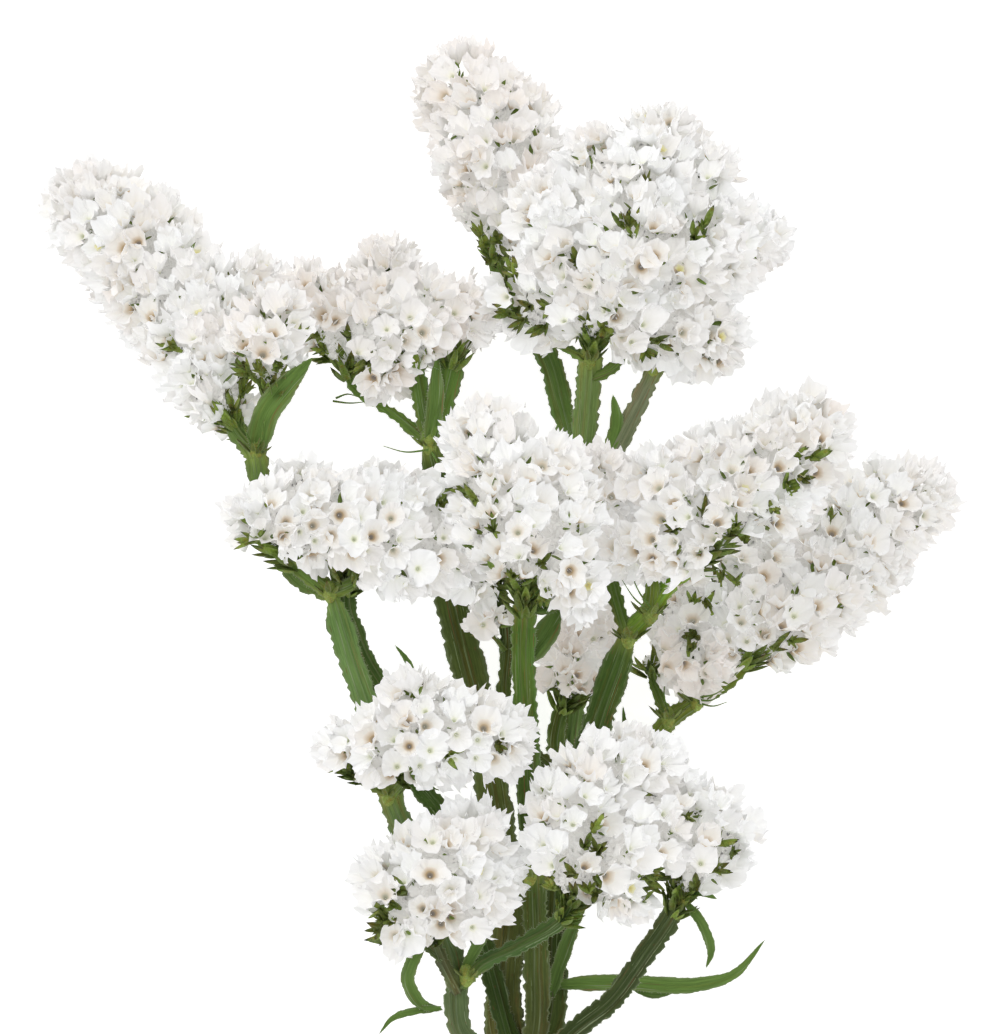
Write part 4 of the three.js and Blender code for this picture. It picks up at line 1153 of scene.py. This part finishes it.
def inner_paper(growth, random, line, base, axis, length, size):
    """Paper deep between the open calyces: a crumpled sleeve round the axis, and loose lobes on it."""
    fine = smooth(line, PAPER_STEP * MM)
    middle, radius = fine[:, :3], fine[:, 3]
    _, across, out = directions(middle)
    order = np.arange(len(middle))
    ends = np.clip(np.minimum(order, order[::-1]) / 2 + PAPER_ENDS, 0, 1)
    count = max(8, int(math.pi * radius.max() / (PAPER_STEP * MM)))
    around = spokes(across, out, full_turn(count))
    reach = (radius * np.sqrt(ends))[:, None] * random.uniform(*PAPER_REACH, (len(middle), count))
    body = middle[:, None] + reach[..., None] * around
    # Painted shade: the sleeve's throat and aged values paint it a little greyer and warmer than an open rim,
    # deep in the head.
    growth.add(body, grid_faces(len(middle), count, True), throat=0.40, rib=0.2, aged=0.3, mark=0.0)
    template, faces = blade_template(LOBE_ROWS)
    root = np.repeat(body.reshape(-1, 3), LOOSE_LOBES, axis=0)
    outward = np.repeat(around.reshape(-1, 3), LOOSE_LOBES, axis=0)
    facing = unit(outward + random.normal(0, LOBE_TURNED, root.shape))
    longest = LOBE_LENGTH["share"] * np.repeat(radius, LOOSE_LOBES * count)
    reach = np.minimum(LOBE_LENGTH["most"] * MM, longest)
    reach = reach * random.uniform(*LOBE_LENGTH["spread"], len(root))
    clear = ~in_funnel(root + facing * reach[:, None], base, axis, length, size)
    root, facing, reach = root[clear], facing[clear], reach[clear]
    width = random.uniform(*LOBE_WIDTH, len(root)) * MM
    frames = frames_of(facing, random.normal(0, 1, facing.shape), width, reach)
    # Painted shade: the loose lobes' throat and aged values likewise paint them a little greyer and warmer
    # than an open rim.
    growth.scatter(template, faces, root, frames, throat=0.3, rib=0.2, aged=0.2, mark=0.0)


def in_funnel(points, base, axis, length, size):
    """Which points lie inside an open calyx."""
    away = points[:, None] - base[None]
    rise = (away * axis[None]).sum(axis=2)
    beside = np.linalg.norm(away - rise[..., None] * axis[None], axis=2) / size
    share = rise / length
    mouth = np.interp(share, INSIDE_SHARES, INSIDE_WIDTHS)
    return ((beside < mouth) & (share < INSIDE_TOP)).any(axis=1)


def under_calyces(greens, random, base, facing):
    """A small green bract beside each calyx's foot."""
    wobble = unit(np.cross(facing, random.normal(0, 1, (len(base), 3))))
    origin = base + wobble * 1.1 * MM + facing * 0.6 * MM
    direction = unit(facing + wobble * 0.55)
    tint = np.array(FRESH_GREEN) * 0.55 + np.array(LEAF_GREEN) * 0.45
    bracts(greens, random, origin, direction, wobble, UNDER_CALYX, tint)


def tuft(greens, random, rim, facing):
    """Bracts that show where a head has no open calyx."""
    count = TUFT["count"]
    wobble = unit(random.normal(0, 1, (count, 3)))
    direction = unit(facing + wobble * 0.5)
    origin = rim + wobble * 1.6 * MM - direction * (random.uniform(4.0, 7.0, (count, 1)) * MM)
    green, brown = random.uniform(*TUFT_SHADES), random.uniform(*TUFT_BROWN)
    tint = np.array(FRESH_GREEN) * green + np.array(DRY_BROWN) * brown
    bracts(greens, random, origin, direction, wobble, TUFT, tint)


def corolla(growth, random, places, facing):
    """Small pale-yellow flowers in the throats of a few calyces."""
    sides = COROLLA["sides"]
    turn = full_turn(sides)
    petal = COROLLA["petal"] * np.cos(LOBES * turn)
    share = COROLLA_SHARES[:, None]
    r = share * (1 + petal * share) * COROLLA["radius"] * MM
    z = COROLLA_HEIGHTS[:, None] * MM * np.ones(sides)
    points = np.stack([r * np.cos(turn), r * np.sin(turn), z], -1).reshape(-1, 3)
    side = unit(np.cross(facing, random.normal(0, 1, facing.shape)))
    frames = np.stack([side, np.cross(facing, side), facing], 1)
    faces = grid_faces(len(COROLLA_SHARES), sides, True)
    growth.scatter(points, faces, places, frames, depth=np.repeat(COROLLA_SHARES, sides))


class Shader:
    """Builds one material's nodes."""

    def __init__(self, name, roughness, specular=None, glow=None):
        self.material = bpy.data.materials.new(name)
        self.material.use_nodes = True
        self.tree = self.material.node_tree
        self.surface = self.tree.nodes["Principled BSDF"]
        self.surface.inputs["Roughness"].default_value = roughness
        if specular is not None:
            self.surface.inputs["Specular IOR Level"].default_value = specular
        if glow:
            self.surface.inputs["Emission Color"].default_value = glow["colour"]
            self.surface.inputs["Emission Strength"].default_value = glow["strength"]

    def node(self, kind, inputs=None, **settings):
        """A node with its settings made, and its inputs set or linked."""
        made = self.tree.nodes.new(kind)
        for key, value in settings.items():
            setattr(made, key, value)
        for key, value in (inputs or {}).items():
            if isinstance(value, bpy.types.NodeSocket):
                self.tree.links.new(value, made.inputs[key])
            else:
                made.inputs[key].default_value = value
        return made

    def attribute(self, name, output="Fac"):
        """A value that the mesh holds for each of its points."""
        return self.node("ShaderNodeAttribute", attribute_name=name).outputs[output]

    def noise(self, scale, vector=None, detail=3.0):
        """A noise pattern from 0 to 1."""
        inputs = {"Scale": scale, "Detail": detail}
        if vector is not None:
            inputs["Vector"] = vector
        return self.node("ShaderNodeTexNoise", inputs).outputs["Fac"]

    def ramp(self, value, stops):
        """Colours for a value, blended between stops."""
        made = self.node("ShaderNodeValToRGB", {"Fac": value})
        bar = made.color_ramp.elements
        while len(bar) < len(stops):
            bar.new(0.5)
        for element, (place, colour) in zip(bar, stops):
            element.position = place
            element.color = (*colour, 1.0)
        return made.outputs["Color"]

    def mix(self, share, first, second, blend="MIX"):
        """Two colours blended by a share."""
        made = self.node("ShaderNodeMix", data_type="RGBA", blend_type=blend)
        for index, value in ((0, share), (6, first), (7, second)):
            if isinstance(value, bpy.types.NodeSocket):
                self.tree.links.new(value, made.inputs[index])
            elif index == 0:
                made.inputs[0].default_value = value
            else:
                made.inputs[index].default_value = (*value, 1.0)
        return made.outputs[2]

    def maths(self, operation, first, second):
        """The result of a sum on two values."""
        return self.node("ShaderNodeMath", {0: first, 1: second}, operation=operation).outputs[0]

    def blend(self, pattern, strength, first, second):
        """Two colours blended by a pattern at a strength."""
        return self.mix(self.maths("MULTIPLY", pattern, strength), first, second)

    def tinted(self, colour, factors):
        """A colour with its red, green and blue multiplied by factors."""
        return self.mix(1.0, colour, factors, "MULTIPLY")

    def stretched(self, vector, factors):
        """A vector with its x, y and z multiplied by factors."""
        made = self.node("ShaderNodeVectorMath", {0: vector, 1: factors}, operation="MULTIPLY")
        return made.outputs[0]

    def bump(self, height, strength, distance):
        """Small relief from a height pattern."""
        inputs = {"Strength": strength, "Distance": distance, "Height": height}
        made = self.node("ShaderNodeBump", inputs)
        self.tree.links.new(made.outputs["Normal"], self.surface.inputs["Normal"])

    def paint(self, colour):
        """The material in a colour."""
        self.tree.links.new(colour, self.surface.inputs["Base Color"])
        return self.material


def calyx_material():
    """Thin white paper with faint veins, and a throat that is greenish in some and brown in others, with a
    faint painted glow that lightens the paper's shade.
    """
    shader = Shader("papery calyx", 0.8, 0.15, PAPER_PAINTED_GLOW)
    # The paper's glow is painted light that lifts the shade deep in the heads.
    shader.material.cycles.emission_sampling = "NONE"
    throat = shader.attribute("throat")
    plain, brown = shader.ramp(throat, PLAIN_THROAT), shader.ramp(throat, BROWN_THROAT)
    base = shader.mix(shader.attribute("mark"), plain, brown)
    beige = shader.mix(shader.attribute("aged"), base, BEIGE, "MULTIPLY")
    vein = shader.maths("MULTIPLY", shader.attribute("rib"), throat)
    veined = shader.blend(vein, 0.12, beige, VEIN_BROWN)
    mottled = shader.blend(shader.noise(300.0), 0.06, veined, BLOTCH_GREY)
    shader.bump(shader.noise(1400.0, detail=4.0), 0.25, 0.0004)
    return shader.paint(mottled)


def green_material():
    """Leathery stems and leaves with streaks along them, pale edges and a few brown flecks."""
    shader = Shader("winged stem", 0.55, 0.12)
    grain = shader.attribute("grain", "Vector")
    tint = shader.attribute("tint", "Color")
    streak = shader.noise(1.6, shader.stretched(grain, (1.3, 1.3, 0.06)), 4.0)
    light, deep = shader.tinted(tint, (1.9, 1.75, 1.9)), shader.tinted(tint, (0.22, 0.30, 0.20))
    streaked = shader.blend(streak, 0.9, light, deep)
    bands = shader.noise(1.0, shader.stretched(grain, (0.5, 0.5, 0.012)), 2.0)
    band = shader.ramp(bands, [(0.50, BLACK), (0.68, WHITE)])
    banded = shader.blend(band, 0.75, streaked, shader.tinted(streaked, (1.15, 0.78, 0.7)))
    line = shader.noise(1.3, shader.stretched(grain, (1.5, 1.5, 0.03)), 1.0)
    pale_line = shader.ramp(line, [(0.66, BLACK), (0.70, WHITE)])
    lined = shader.blend(pale_line, 0.65, banded, EDGE_PALE)
    red_line = shader.ramp(line, [(0.27, WHITE), (0.30, BLACK)])
    reddened = shader.blend(red_line, 0.55, lined, RED_BROWN)
    edge = shader.maths("POWER", shader.attribute("edge"), 2.2)
    edged = shader.blend(edge, 0.6, reddened, EDGE_PALE)
    fleck = shader.noise(0.9, shader.stretched(grain, (1.0, 1.0, 0.35)), 2.0)
    spots = shader.ramp(fleck, [(0.70, BLACK), (0.76, WHITE)])
    shader.bump(streak, 0.6, 0.0008)
    return shader.paint(shader.blend(spots, 0.55, edged, DRY_BROWN))


def corolla_material():
    """Pale yellow petals, deeper in the middle."""
    shader = Shader("corolla", 0.6)
    colour = shader.ramp(shader.attribute("depth"), COROLLA_YELLOWS)
    return shader.paint(shader.blend(shader.noise(900.0), 0.1, colour, (0.8, 0.76, 0.4)))


def floor_material():
    """A plain pale surface with a faint glow of its own, for a white background."""
    shader = Shader("pale floor", 0.9, 0.1, FLOOR_GLOW)
    light, dark = (0.95, 0.95, 0.95), (0.92, 0.92, 0.92)
    return shader.paint(shader.blend(shader.noise(3.0), 0.05, light, dark))


def add_floor():
    """The plain pale floor that the spray lies on."""
    mesh = bpy.data.meshes.new("floor")
    corners = [(-1, -1, 0), (1, -1, 0), (1, 1, 0), (-1, 1, 0)]
    mesh.from_pydata([(x * FLOOR_HALF, y * FLOOR_HALF, z) for x, y, z in corners], [], [(0, 1, 2, 3)])
    mesh.materials.append(floor_material())
    floor = bpy.data.objects.new("floor", mesh)
    bpy.context.scene.collection.objects.link(floor)


def add_light():
    """A soft square light aimed at the spray's middle."""
    data = bpy.data.lights.new("key", "AREA")
    data.size = LIGHT["size"]
    data.energy = LIGHT["power"]
    made = bpy.data.objects.new("key", data)
    made.location = LIGHT["place"]
    aim = LIGHT_AIM - np.array(LIGHT["place"])
    down = math.atan2(math.hypot(aim[0], aim[1]), -aim[2])
    made.rotation_euler = (down, 0.0, math.atan2(aim[1], aim[0]) - math.pi / 2)
    bpy.context.scene.collection.objects.link(made)


def add_camera():
    """The camera that looks straight down, as far off as the tables' eye."""
    data = bpy.data.cameras.new("camera")
    data.sensor_fit = "HORIZONTAL"
    data.sensor_width = SENSOR
    data.lens = SENSOR * EYE / (COLUMNS * STEP)
    data.clip_end = CLIP_END
    camera = bpy.data.objects.new("camera", data)
    camera.location = (VIEW_OVER[0] * MM, VIEW_OVER[1] * MM, (SHARP + EYE) * MM)
    bpy.context.scene.collection.objects.link(camera)
    bpy.context.scene.camera = camera


def add_stage():
    """The floor, one soft studio light, a white world and the camera."""
    scene = bpy.context.scene
    add_floor()
    add_light()
    world = bpy.data.worlds.new("studio")
    world.use_nodes = True
    background = world.node_tree.nodes["Background"]
    background.inputs["Color"].default_value = (*WHITE, 1.0)
    background.inputs["Strength"].default_value = WORLD_STRENGTH
    scene.world = world
    scene.view_settings.view_transform = "Standard"
    scene.cycles.max_bounces = BOUNCES
    add_camera()


def main():
    """Builds every piece."""
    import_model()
    add_stage()
    green, white = green_material(), calyx_material()
    stems, leaves, hairs, greens, corollas = (Growth() for _ in range(5))
    for name, stem in STEMS.items():
        shape = dict(stem)
        whorls = shape.pop("whorls", 0)
        winged_stem(stems, hairs, name, **shape)
        collar(greens, np.random.default_rng(len(name)), stem["route"], whorls)
    random = np.random.default_rng(5)
    for place in placed(NODES):
        knuckle(stems, random, place)
    for seed, (route, width) in enumerate(LEAVES):
        leaf(leaves, hairs, route, width, seed)
    for route in THREADS:
        thread(leaves, random, route)
    for name, spikes in HEADS.items():
        dress_head(name, spikes, white, greens, corollas, HEAD_TONES[name])
    corollas.lift()
    green_growths = {"fine_stems": stems, "fine_leaves": leaves, "hairs": hairs, "bracts": greens}
    for name, growth in green_growths.items():
        growth.lift()
        made = growth.piece(name, green)
        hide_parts("stems")
    corollas.piece("corollas", corolla_material())


main()
